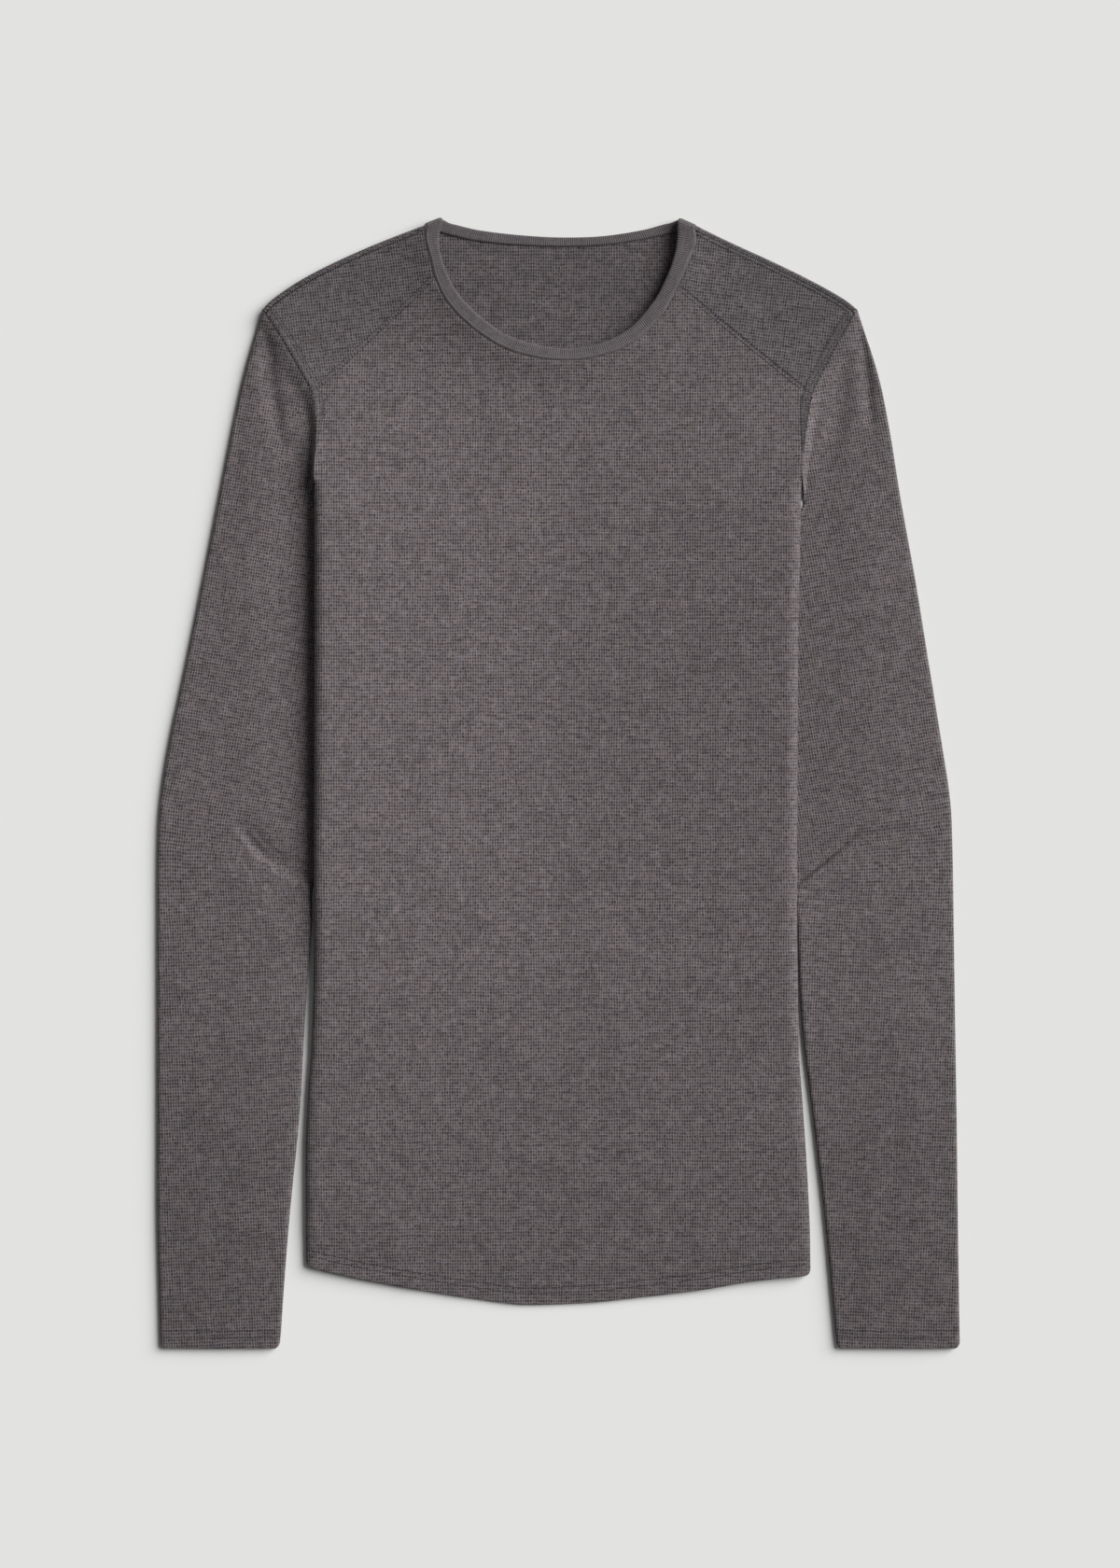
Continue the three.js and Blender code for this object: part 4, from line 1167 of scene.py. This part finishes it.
        def turned(degrees: float) -> tuple[Array, Array]:
            lean = math.radians(degrees) * self.side.sign
            return x * math.cos(lean) + y * math.sin(lean), y * math.cos(lean) - x * math.sin(lean)

        upper, fore = turned(self.upper_lean), turned(self.fore_lean)
        across, along = (u * mix + f * (1 - mix) for u, f in zip(upper, fore))
        return unrolled(grid, across, along, x.shape[1] * 3 // 4, -self.side.sign)


@dataclass
class NeckBinding:
    """The ribbed band folded round the neck edge, one closed ring that turns over at the neck points."""

    lay: Layout = LAY
    half_height: float = 1.1 * MM
    cloth: float = 0.7 * MM
    rib: float = 1.4 * MM
    rib_rise: float = 0.14 * MM
    points_a_rib: int = 4
    fold_reach: float = 0.62
    sink: float = 0.8 * MM
    settle: float = 0.12

    def sections(self) -> tuple[Array, Array, Array, Array, Array]:
        """Returns seam points, free points, heights, turns and outward ways of all sections."""
        fine = steps(0, 1, 1200)
        seam, free = NECK_SEAM.at(fine), NECK_FREE.at(fine)
        high = self.lay.front_top(seam[:, 0], seam[:, 1]) - self.sink
        low = self.half_height
        pieces = [(seam, free, high, np.zeros_like(fine), np.zeros_like(seam))]
        shifts: list[Array] = []

        def fold(at: int, falling: bool) -> None:
            width = unit(free[at] - seam[at])
            out = np.array([-width[1], width[0]])
            out *= np.sign(out[1])
            turn = np.radians(steps(4, 176, 44))
            turn = turn if falling else turn[::-1]
            radius = (high[at] - low) / 2
            lean = np.where(turn < math.pi / 2, np.sin(turn), 1.0)
            shift = self.fold_reach * radius * lean[:, None] * out
            shifts.append(shift[-1] if falling else shift[0])
            pieces.append(
                (
                    seam[at] + shift,
                    free[at] + shift,
                    low + radius * (1 + np.cos(turn)),
                    turn,
                    np.broadcast_to(out, shift.shape),
                )
            )

        fold(-1, True)
        back = steps(1, 0, 900)
        flat = np.full_like(back, low)
        fold(0, False)
        from_left, from_right = (1 - ease(share, 0, self.settle) for share in (1 - back, back))
        shift = from_left[:, None] * shifts[0] + from_right[:, None] * shifts[1]
        turned = np.full_like(back, math.pi), np.zeros_like(shift)
        pieces.insert(2, (BACK_SEAM.at(back) + shift, BACK_FREE.at(back) + shift, flat, *turned))
        return tuple(np.concatenate(column) for column in zip(*pieces))

    def build(self) -> list[bpy.types.Object]:
        """Builds the binding."""
        seam, free, height, turn, out = self.sections()
        middle = np.concatenate([(seam + free) / 2, height[:, None]], -1)
        closed = np.concatenate([middle, middle[:1]])
        run = np.concatenate([[0], np.cumsum(np.linalg.norm(np.diff(closed, axis=0), axis=1))])
        ribs = round(run[-1] / self.rib)
        place = steps(0, run[-1], ribs * self.points_a_rib + 1)

        def resample(column: Array) -> Array:
            ring = np.concatenate([column, column[:1]])
            if ring.ndim == 1:
                return np.interp(place, run, ring)
            return np.stack([np.interp(place, run, ring[:, k]) for k in range(ring.shape[1])], -1)

        turn_wave = resample(np.cos(turn)), resample(np.sin(turn))
        seam, free, height, out = (resample(column) for column in (seam, free, height, out))
        width = np.linalg.norm(free - seam, axis=-1) - 0.1 * MM
        across = unit(free - seam)
        rib_wave = 0.5 + 0.5 * np.cos(2 * math.pi * place / run[-1] * ribs)
        half = self.half_height
        section = [(0.0, 0.25), (0.02, 0.5), (0.06, 0.8), (0.11, 0.95), (0.16, 1.0), (0.25, 1.0)]
        section += [(0.34, 1.0), (0.44, 1.0), (0.56, 1.0), (0.68, 1.0), (0.78, 0.99), (0.86, 0.95)]
        section += [(0.93, 0.8), (0.98, 0.45), (1.0, 0.0)]
        section += [(a, -b) for a, b in section[-2::-1]]
        rings = []
        for share, lift in section:
            free_part = ease(np.array(share), 0.3, 0.52)
            line = 0.16 * MM * (math.exp(-(((share - 0.16) / 0.05) ** 2)) + math.exp(-(((share - 0.34) / 0.05) ** 2)))
            rise = (self.rib_rise * (rib_wave * (0.25 + 0.75 * free_part)) + line) * np.sign(lift)
            a = -width * (1 - share) + (rise * 0 if lift else rise)
            b = half * lift - np.sign(lift) * (self.rib_rise + 0.1 * MM) + rise
            plan = free + across * a[:, None] + out * (b * turn_wave[1])[:, None]
            rings.append(np.concatenate([plan, (height + b * turn_wave[0])[:, None]], -1))
        grid = np.stack(rings)
        around = run_lengths(grid, 0)
        uv = np.stack([np.broadcast_to(place * ribs * self.rib / run[-1], around.shape), around], -1)
        obj = cloth_from("neck_binding_cloth", grid, uv, self.cloth, 1)
        return [obj]


class Finish(Enum):
    """The cloths and yarns of the top."""

    WAFFLE = "waffle_knit"
    YOKE = "yoke_knit"
    REVERSE = "waffle_knit_reverse_shaded"
    RIB = "rib_knit"
    THREAD = "thread"
    COVER = "cover_thread"


class Pattern(Enum):
    """How a yarn is worked."""

    WAFFLE = "waffle"
    RIB = "rib"
    PLAIN = "plain"


Colour = tuple[float, float, float]


@dataclass(frozen=True)
class Look:
    """How a cloth or a thread is coloured and raised, and the record's slot that it belongs to."""

    name: str
    pattern: Pattern
    yarn: Colour
    # Painted shade: the colour of the knit's pits and rib valleys, for the shade that falls in them.
    hollow_shade: Colour
    column: float = 1.7 * MM
    row: float = 2.1 * MM
    depth: float = 0.45 * MM
    heather: float = 0.42
    sheen: float = 0.12
    slot: str = "waffle_knit"


# Painted shade: near black, for the shade deep in the waffle's pits.
HOLLOW_SHADE = (0.012, 0.010, 0.012)
LOOKS = {
    Finish.WAFFLE: Look("waffle_knit", Pattern.WAFFLE, (0.212, 0.185, 0.188), HOLLOW_SHADE),
    # Painted shade: the back's yarn is darker than the front's, for the shade in the neck hole where the back's
    # inside shows.
    Finish.REVERSE: Look("waffle_knit_reverse_shaded", Pattern.WAFFLE, (0.182, 0.160, 0.163), HOLLOW_SHADE),
    Finish.YOKE: Look("yoke_knit", Pattern.WAFFLE, (0.186, 0.167, 0.171), HOLLOW_SHADE, slot="yoke_knit"),
    Finish.RIB: Look(
        "rib_knit",
        Pattern.RIB,
        yarn=(0.155, 0.138, 0.142),
        hollow_shade=(0.070, 0.063, 0.067),
        column=1.4 * MM,
        row=1.5 * MM,
        depth=0.25 * MM,
        heather=0.3,
        slot="rib_knit",
    ),
    # Partly painted shade: the needle thread is far darker than the yarn, so its rows also stand for the shade along
    # the seams.
    Finish.THREAD: Look(
        "thread",
        Pattern.PLAIN,
        yarn=(0.030, 0.030, 0.035),
        hollow_shade=HOLLOW_SHADE,
        depth=0.08 * MM,
        heather=0.4,
        sheen=0.05,
        slot="rib_knit",
    ),
    Finish.COVER: Look(
        "cover_thread",
        Pattern.PLAIN,
        yarn=(0.140, 0.134, 0.140),
        hollow_shade=HOLLOW_SHADE,
        depth=0.08 * MM,
        heather=0.5,
        sheen=0.05,
        slot="rib_knit",
    ),
}
# Painted shade, where the cloth is painted darker towards its edges: along X (0) or Y (1), from a place to another,
# by a share.
PAINTED_SHADES = (
    (1, -60 * MM, -340 * MM, 0.17),
    (1, 240 * MM, 350 * MM, 0.17),
    (0, -170 * MM, -215 * MM, 0.10),
    (0, 166 * MM, 205 * MM, 0.08),
)


class Nodes:
    """Short ways to place and link shader nodes."""

    def __init__(self, tree: bpy.types.NodeTree) -> None:
        """Keeps the tree that nodes are placed in."""
        self.tree = tree

    def add(self, kind: str, **values: object) -> bpy.types.Node:
        """Places a node and sets its properties, or its sockets where a socket has the name."""
        node = self.tree.nodes.new(kind)
        for name, value in values.items():
            if hasattr(node, name):
                setattr(node, name, value)
            else:
                node.inputs[name.replace("_", " ")].default_value = value
        return node

    def link(self, source: bpy.types.NodeSocket, target: bpy.types.NodeSocket) -> None:
        """Links two sockets."""
        self.tree.links.new(source, target)

    def math(self, operation: str, *values: object, clamp: bool = False) -> bpy.types.NodeSocket:
        """Places a Math node on sockets or numbers and returns its result."""
        node = self.add("ShaderNodeMath", operation=operation, use_clamp=clamp)
        for socket, value in zip(node.inputs, values):
            if isinstance(value, bpy.types.NodeSocket):
                self.link(value, socket)
            else:
                socket.default_value = value
        return node.outputs[0]

    def split(self, vector: bpy.types.NodeSocket) -> list[bpy.types.NodeSocket]:
        """Returns a vector's three parts."""
        node = self.add("ShaderNodeSeparateXYZ")
        self.link(vector, node.inputs[0])
        return list(node.outputs)

    def place(self, tree: bpy.types.NodeTree, given: dict[str, object], look: Look | None = None) -> dict:
        """Places a group, fills its sockets and returns its results by name.

        Args:
            tree: the group.
            given: sockets to link or values to set, by name.
            look: whose pitches the group's Column and Row sockets take.

        Returns:
            The group's output sockets.
        """
        node = self.add("ShaderNodeGroup", node_tree=tree)
        if look is not None:
            given = {**given, "Column": look.column, "Row": look.row}
        for name, value in given.items():
            if isinstance(value, bpy.types.NodeSocket):
                self.link(value, node.inputs[name])
            else:
                node.inputs[name].default_value = value
        return node.outputs

    def mix(self, factor: object, first: object, second: object, blend: str = "MIX") -> bpy.types.NodeSocket:
        """Places a colour Mix node and returns its result."""
        node = self.add("ShaderNodeMix", data_type="RGBA", blend_type=blend)
        for index, value in ((0, factor), (6, first), (7, second)):
            if isinstance(value, bpy.types.NodeSocket):
                self.link(value, node.inputs[index])
            else:
                node.inputs[index].default_value = value
        return node.outputs[2]


def new_group(name: str, inputs: dict[str, str], outputs: dict[str, str]) -> tuple:
    """Starts a node group with named sockets.

    Args:
        name: the group's name.
        inputs: its input sockets' kinds by name.
        outputs: the same for its outputs.

    Returns:
        The nodes, the sockets that are given and the sockets to fill.
    """
    tree = bpy.data.node_groups.new(name, "ShaderNodeTree")
    for sockets, way in ((inputs, "INPUT"), (outputs, "OUTPUT")):
        for socket, kind in sockets.items():
            tree.interface.new_socket(socket, in_out=way, socket_type=f"NodeSocket{kind}")
    nodes = Nodes(tree)
    return nodes, nodes.add("NodeGroupInput").outputs, nodes.add("NodeGroupOutput").inputs


def heather_group() -> bpy.types.NodeTree:
    """Builds the group for heathered yarn, which streaks along the knit's rows and columns."""
    nodes, given, result = new_group(
        "HeatheredYarn",
        {"Cloth": "Vector", "Yarn": "Color", "Column": "Float", "Row": "Float", "Amount": "Float"},
        {"Color": "Color", "Fleck": "Float", "Roughness": "Float"},
    )
    u, v = nodes.split(given["Cloth"])[:2]

    def counted(place: bpy.types.NodeSocket, pitch: str) -> bpy.types.NodeSocket:
        cells = nodes.math("ADD", nodes.math("DIVIDE", place, given[pitch]), 0.5)
        return nodes.math("MULTIPLY", nodes.math("FLOOR", cells), 1.37)

    def patches(x: bpy.types.NodeSocket, y: bpy.types.NodeSocket, layer: float) -> bpy.types.NodeSocket:
        place = nodes.add("ShaderNodeCombineXYZ", Z=layer)
        nodes.link(x, place.inputs[0])
        nodes.link(y, place.inputs[1])
        noise = nodes.add("ShaderNodeTexNoise", Scale=1.0, Detail=1.5, Roughness=0.6)
        nodes.link(place.outputs[0], noise.inputs["Vector"])
        return nodes.math("SUBTRACT", noise.outputs["Fac"], 0.5)

    def sized(along: float, up: float, layer: float) -> bpy.types.NodeSocket:
        return patches(nodes.math("DIVIDE", u, along), nodes.math("DIVIDE", v, up), layer)

    streak = patches(nodes.math("DIVIDE", u, 7 * MM), counted(v, "Row"), 3.3)
    stripe = patches(counted(u, "Column"), nodes.math("DIVIDE", v, 9 * MM), 7.7)
    fleck = sized(0.9 * MM, 0.7 * MM, 11.1)
    hair = nodes.math("MAXIMUM", nodes.math("SUBTRACT", sized(2.4 * MM, 0.4 * MM, 17.7), 0.1), 0.0)
    shade = nodes.math("MULTIPLY", streak, 2.6)
    for part, weight in ((stripe, 1.5), (fleck, 4.4), (hair, 6.0), (sized(30 * MM, 14 * MM, 23.3), 0.4)):
        shade = nodes.math("ADD", shade, nodes.math("MULTIPLY", part, weight))
    shade = nodes.math("MAXIMUM", nodes.math("ADD", nodes.math("MULTIPLY", shade, given["Amount"]), 1.0), 0.25)
    colour = nodes.mix(1.0, given["Yarn"], shade, "MULTIPLY")
    tint = nodes.math("MULTIPLY", patches(nodes.math("DIVIDE", u, 3 * MM), counted(v, "Row"), 41.1), 3.0)
    tint = nodes.math("ADD", tint, 0.5, clamp=True)
    warm = nodes.mix(tint, (1.045, 0.995, 0.955, 1), (0.965, 0.99, 1.055, 1))
    nodes.link(nodes.mix(1.0, colour, warm, "MULTIPLY"), result["Color"])
    nodes.link(fleck, result["Fleck"])
    nodes.link(nodes.math("ADD", nodes.math("MULTIPLY", fleck, -0.25), 0.9), result["Roughness"])
    return nodes.tree


def waffle_group() -> bpy.types.NodeTree:
    """Builds the group for a waffle knit: pits between the ridges of rows and columns, raised by bump and painted
    dark with the hollow shade for the shade inside them.
    """
    nodes, given, result = new_group(
        "WafflePits",
        {"Cloth": "Vector", "Column": "Float", "Row": "Float", "Yarn": "Color", "HollowShade": "Color", "Fleck": "Float"},
        {"Color": "Color", "Height": "Float"},
    )
    wobble = nodes.add("ShaderNodeTexNoise", Scale=60.0, Detail=2.0)
    nodes.link(given["Cloth"], wobble.inputs["Vector"])
    sway = nodes.split(wobble.outputs["Color"])
    pit, cell = None, nodes.add("ShaderNodeCombineXYZ")
    for axis, (pitch, width) in enumerate((("Column", 0.74), ("Row", 0.58))):
        cells = nodes.math("DIVIDE", nodes.split(given["Cloth"])[axis], given[pitch])
        cells = nodes.math("ADD", cells, nodes.math("MULTIPLY", sway[axis], 1.0))
        nodes.link(nodes.math("FLOOR", cells), cell.inputs[axis])
        wave = nodes.math("ABSOLUTE", nodes.math("SINE", nodes.math("MULTIPLY", cells, math.pi)))
        wave = nodes.math("POWER", wave, width)
        pit = wave if pit is None else nodes.math("MULTIPLY", pit, wave)
    chance = nodes.add("ShaderNodeTexWhiteNoise", noise_dimensions="2D")
    nodes.link(cell.outputs[0], chance.inputs["Vector"])
    depth = nodes.math("ADD", nodes.math("MULTIPLY", chance.outputs["Value"], 0.4), 0.6)
    pit = nodes.math("MULTIPLY", pit, depth)
    # Painted shade: the pits take the hollow shade colour.
    nodes.link(nodes.mix(pit, given["Yarn"], given["HollowShade"]), result["Color"])
    lift = nodes.math("ADD", nodes.math("MULTIPLY", given["Fleck"], 0.6), nodes.math("SUBTRACT", 1.0, pit))
    nodes.link(lift, result["Height"])
    return nodes.tree


def rib_group() -> bpy.types.NodeTree:
    """Builds the group for the binding: ribs across its free part, lines along its sewn part, their valleys painted
    dark with the hollow shade for the shade in them.
    """
    nodes, given, result = new_group(
        "BindingRibs",
        {"Cloth": "Vector", "Column": "Float", "Row": "Float", "Yarn": "Color", "HollowShade": "Color", "Fleck": "Float"},
        {"Color": "Color", "Height": "Float"},
    )
    u, v = nodes.split(given["Cloth"])[:2]

    def valleys(place: bpy.types.NodeSocket, pitch: str, operation: str, width: float) -> bpy.types.NodeSocket:
        wave = nodes.math(operation, nodes.math("MULTIPLY", nodes.math("DIVIDE", place, given[pitch]), math.pi))
        return nodes.math("POWER", nodes.math("SUBTRACT", 1.0, nodes.math("ABSOLUTE", wave)), width)

    free = nodes.add("ShaderNodeMapRange", From_Min=2.7 * MM, From_Max=3.6 * MM)
    nodes.link(v, free.inputs["Value"])
    across = nodes.math("MULTIPLY", valleys(u, "Column", "COSINE", 1.0), free.outputs[0])
    along = nodes.math("MULTIPLY", valleys(v, "Row", "SINE", 1.6), nodes.math("SUBTRACT", 1.0, free.outputs[0]))
    dark = nodes.math("ADD", across, along, clamp=True)
    # Painted shade: the rib valleys and lines take the hollow shade colour.
    nodes.link(nodes.mix(dark, given["Yarn"], given["HollowShade"]), result["Color"])
    lift = nodes.math("ADD", nodes.math("MULTIPLY", given["Fleck"], 0.5), nodes.math("SUBTRACT", 1.0, dark))
    nodes.link(lift, result["Height"])
    return nodes.tree


def painted_shade_group() -> bpy.types.NodeTree:
    """Builds the group for a painted shade: the cloth darkens a little towards its hem, cuffs and neck, and out along
    the sleeves.
    """
    nodes, given, result = new_group("PaintedShade", {"Place": "Vector", "Color": "Color"}, {"Color": "Color"})
    place = nodes.split(given["Place"])
    painted_shade: object = 1.0
    # Each row paints shade in by darkening the colour towards its end.
    for axis, start, end, loss in PAINTED_SHADES:
        reach = nodes.add("ShaderNodeMapRange", interpolation_type="SMOOTHSTEP", From_Min=start, From_Max=end)
        reach.inputs["To Max"].default_value = loss
        nodes.link(place[axis], reach.inputs["Value"])
        painted_shade = nodes.math("SUBTRACT", painted_shade, reach.outputs[0])
    nodes.link(nodes.mix(1.0, given["Color"], painted_shade, "MULTIPLY"), result["Color"])
    return nodes.tree


@dataclass
class Wardrobe:
    """Makes each finish once and dresses the pieces in it."""

    heather: bpy.types.NodeTree = field(default_factory=heather_group)
    painted_shade: bpy.types.NodeTree = field(default_factory=painted_shade_group)
    patterns: dict[Pattern, bpy.types.NodeTree] = field(
        default_factory=lambda: {Pattern.WAFFLE: waffle_group(), Pattern.RIB: rib_group()}
    )
    made: dict[Finish, bpy.types.Material] = field(default_factory=dict)

    def cloth(self, finish: Finish) -> bpy.types.Material:
        """Returns a finish's material, made at its first use."""
        if finish in self.made:
            return self.made[finish]
        look = LOOKS[finish]
        material = bpy.data.materials.new(look.name)
        material.use_nodes = True
        nodes = Nodes(material.node_tree)
        shader = material.node_tree.nodes["Principled BSDF"].inputs
        shader["Specular IOR Level"].default_value = 0.25
        shader["Sheen Weight"].default_value = look.sheen
        shader["Sheen Roughness"].default_value = 0.5
        place = nodes.add("ShaderNodeUVMap", uv_map="Cloth").outputs[0]
        yarn = nodes.place(self.heather, {"Cloth": place, "Yarn": (*look.yarn, 1), "Amount": look.heather}, look)
        colour, height = yarn["Color"], yarn["Fleck"]
        if look.pattern in self.patterns:
            given = {"Cloth": place, "Yarn": colour, "Fleck": height, "HollowShade": (*look.hollow_shade, 1)}
            worked = nodes.place(self.patterns[look.pattern], given, look)
            colour, height = worked["Color"], worked["Height"]
        # Painted shade: the colour darkens by place on the piece, towards the hem, cuffs, neck and sleeves.
        where = nodes.add("ShaderNodeTexCoord").outputs["Object"]
        colour = nodes.place(self.painted_shade, {"Place": where, "Color": colour})["Color"]
        nodes.link(colour, shader["Base Color"])
        nodes.link(yarn["Roughness"], shader["Roughness"])
        bump = nodes.add("ShaderNodeBump", Strength=0.7, Distance=look.depth)
        nodes.link(height, bump.inputs["Height"])
        nodes.link(bump.outputs[0], shader["Normal"])
        self.made[finish] = material
        return material

    def dress(self, obj: bpy.types.Object, finish: Finish) -> None:
        """Gives a piece its finish."""
        obj.data.materials.clear()
        obj.data.materials.append(self.cloth(finish))

    def dress_threads(self, obj: bpy.types.Object) -> None:
        """Gives a piece's sewing the yarns of its rows and of what covers between them."""
        obj.data.materials[0] = self.cloth(Finish.THREAD)
        obj.data.materials[1] = self.cloth(Finish.COVER)


@dataclass
class Studio:
    """The pale floor, the soft light from the upper right and the camera straight above."""

    floor_size: float = 6.0
    floor_colour: tuple[float, float, float] = (0.80, 0.80, 0.785)
    lens: float = 85.0
    frame_height: float = 1680 * 0.63 * MM
    centre: tuple[float, float] = (0.95 * MM, 0.0)
    sun_energy: float = 4.51
    sun_width: float = 50.0
    sun_height: float = 35.0
    sun_bearing: float = 29.0
    sky_strength: float = 0.13

    def build(self) -> None:
        """Builds the floor, the lights and the camera."""
        bpy.ops.object.select_all(action="DESELECT")
        bpy.ops.mesh.primitive_plane_add(size=self.floor_size, location=(0, 0, 0))
        floor = bpy.context.object
        floor.name = "floor"
        material = bpy.data.materials.new("floor_paper")
        material.use_nodes = True
        shader = material.node_tree.nodes["Principled BSDF"]
        shader.inputs["Base Color"].default_value = (*self.floor_colour, 1)
        shader.inputs["Roughness"].default_value = 0.95
        shader.inputs["Specular IOR Level"].default_value = 0.0
        floor.data.materials.append(material)

        world = bpy.data.worlds.new("soft_sky")
        world.use_nodes = True
        world.node_tree.nodes["Background"].inputs["Color"].default_value = (1, 1, 1, 1)
        world.node_tree.nodes["Background"].inputs["Strength"].default_value = self.sky_strength
        bpy.context.scene.world = world

        sun = bpy.data.objects.new("key_light", bpy.data.lights.new("key_light", "SUN"))
        sun.data.energy = self.sun_energy
        sun.data.angle = math.radians(self.sun_width)
        sun.rotation_euler = (0, math.radians(90 - self.sun_height), math.radians(self.sun_bearing))
        bpy.context.scene.collection.objects.link(sun)

        lens = bpy.data.cameras.new("camera")
        lens.lens = self.lens
        lens.sensor_width = 36
        lens.clip_end = 50
        camera = bpy.data.objects.new("camera", lens)
        height = self.lens / 36 * self.frame_height
        camera.location = (*self.centre, height)
        bpy.context.scene.collection.objects.link(camera)
        bpy.context.scene.camera = camera
        bpy.context.scene.view_settings.view_transform = "Standard"


def main() -> None:
    """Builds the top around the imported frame."""
    logging.basicConfig(level=logging.INFO, format="%(message)s")
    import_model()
    Studio().build()
    wardrobe = Wardrobe()
    pieces = [
        (FrontPanel(), "front_panel", Finish.WAFFLE),
        (BackPanel(), "back_panel", Finish.REVERSE),
        (ShoulderPanel(side=Side.RIGHT), "shoulder_panel_right", Finish.YOKE),
        (ShoulderPanel(side=Side.LEFT), "shoulder_panel_left", Finish.YOKE),
        (Sleeve(Side.RIGHT), "sleeve_right", Finish.WAFFLE),
        (Sleeve(Side.LEFT), "sleeve_left", Finish.WAFFLE),
        (NeckBinding(), "neck_binding", Finish.RIB),
    ]
    for maker, node, finish in pieces:
        cloth, *sewing = maker.build()
        wardrobe.dress(cloth, finish)
        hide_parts(node)
        for threads in sewing:
            wardrobe.dress_threads(threads)
        for obj in (cloth, *sewing):
            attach(obj, "root")
            log.info("%s: %d faces", obj.name, len(obj.data.polygons))


if __name__ == "__main__":
    main()
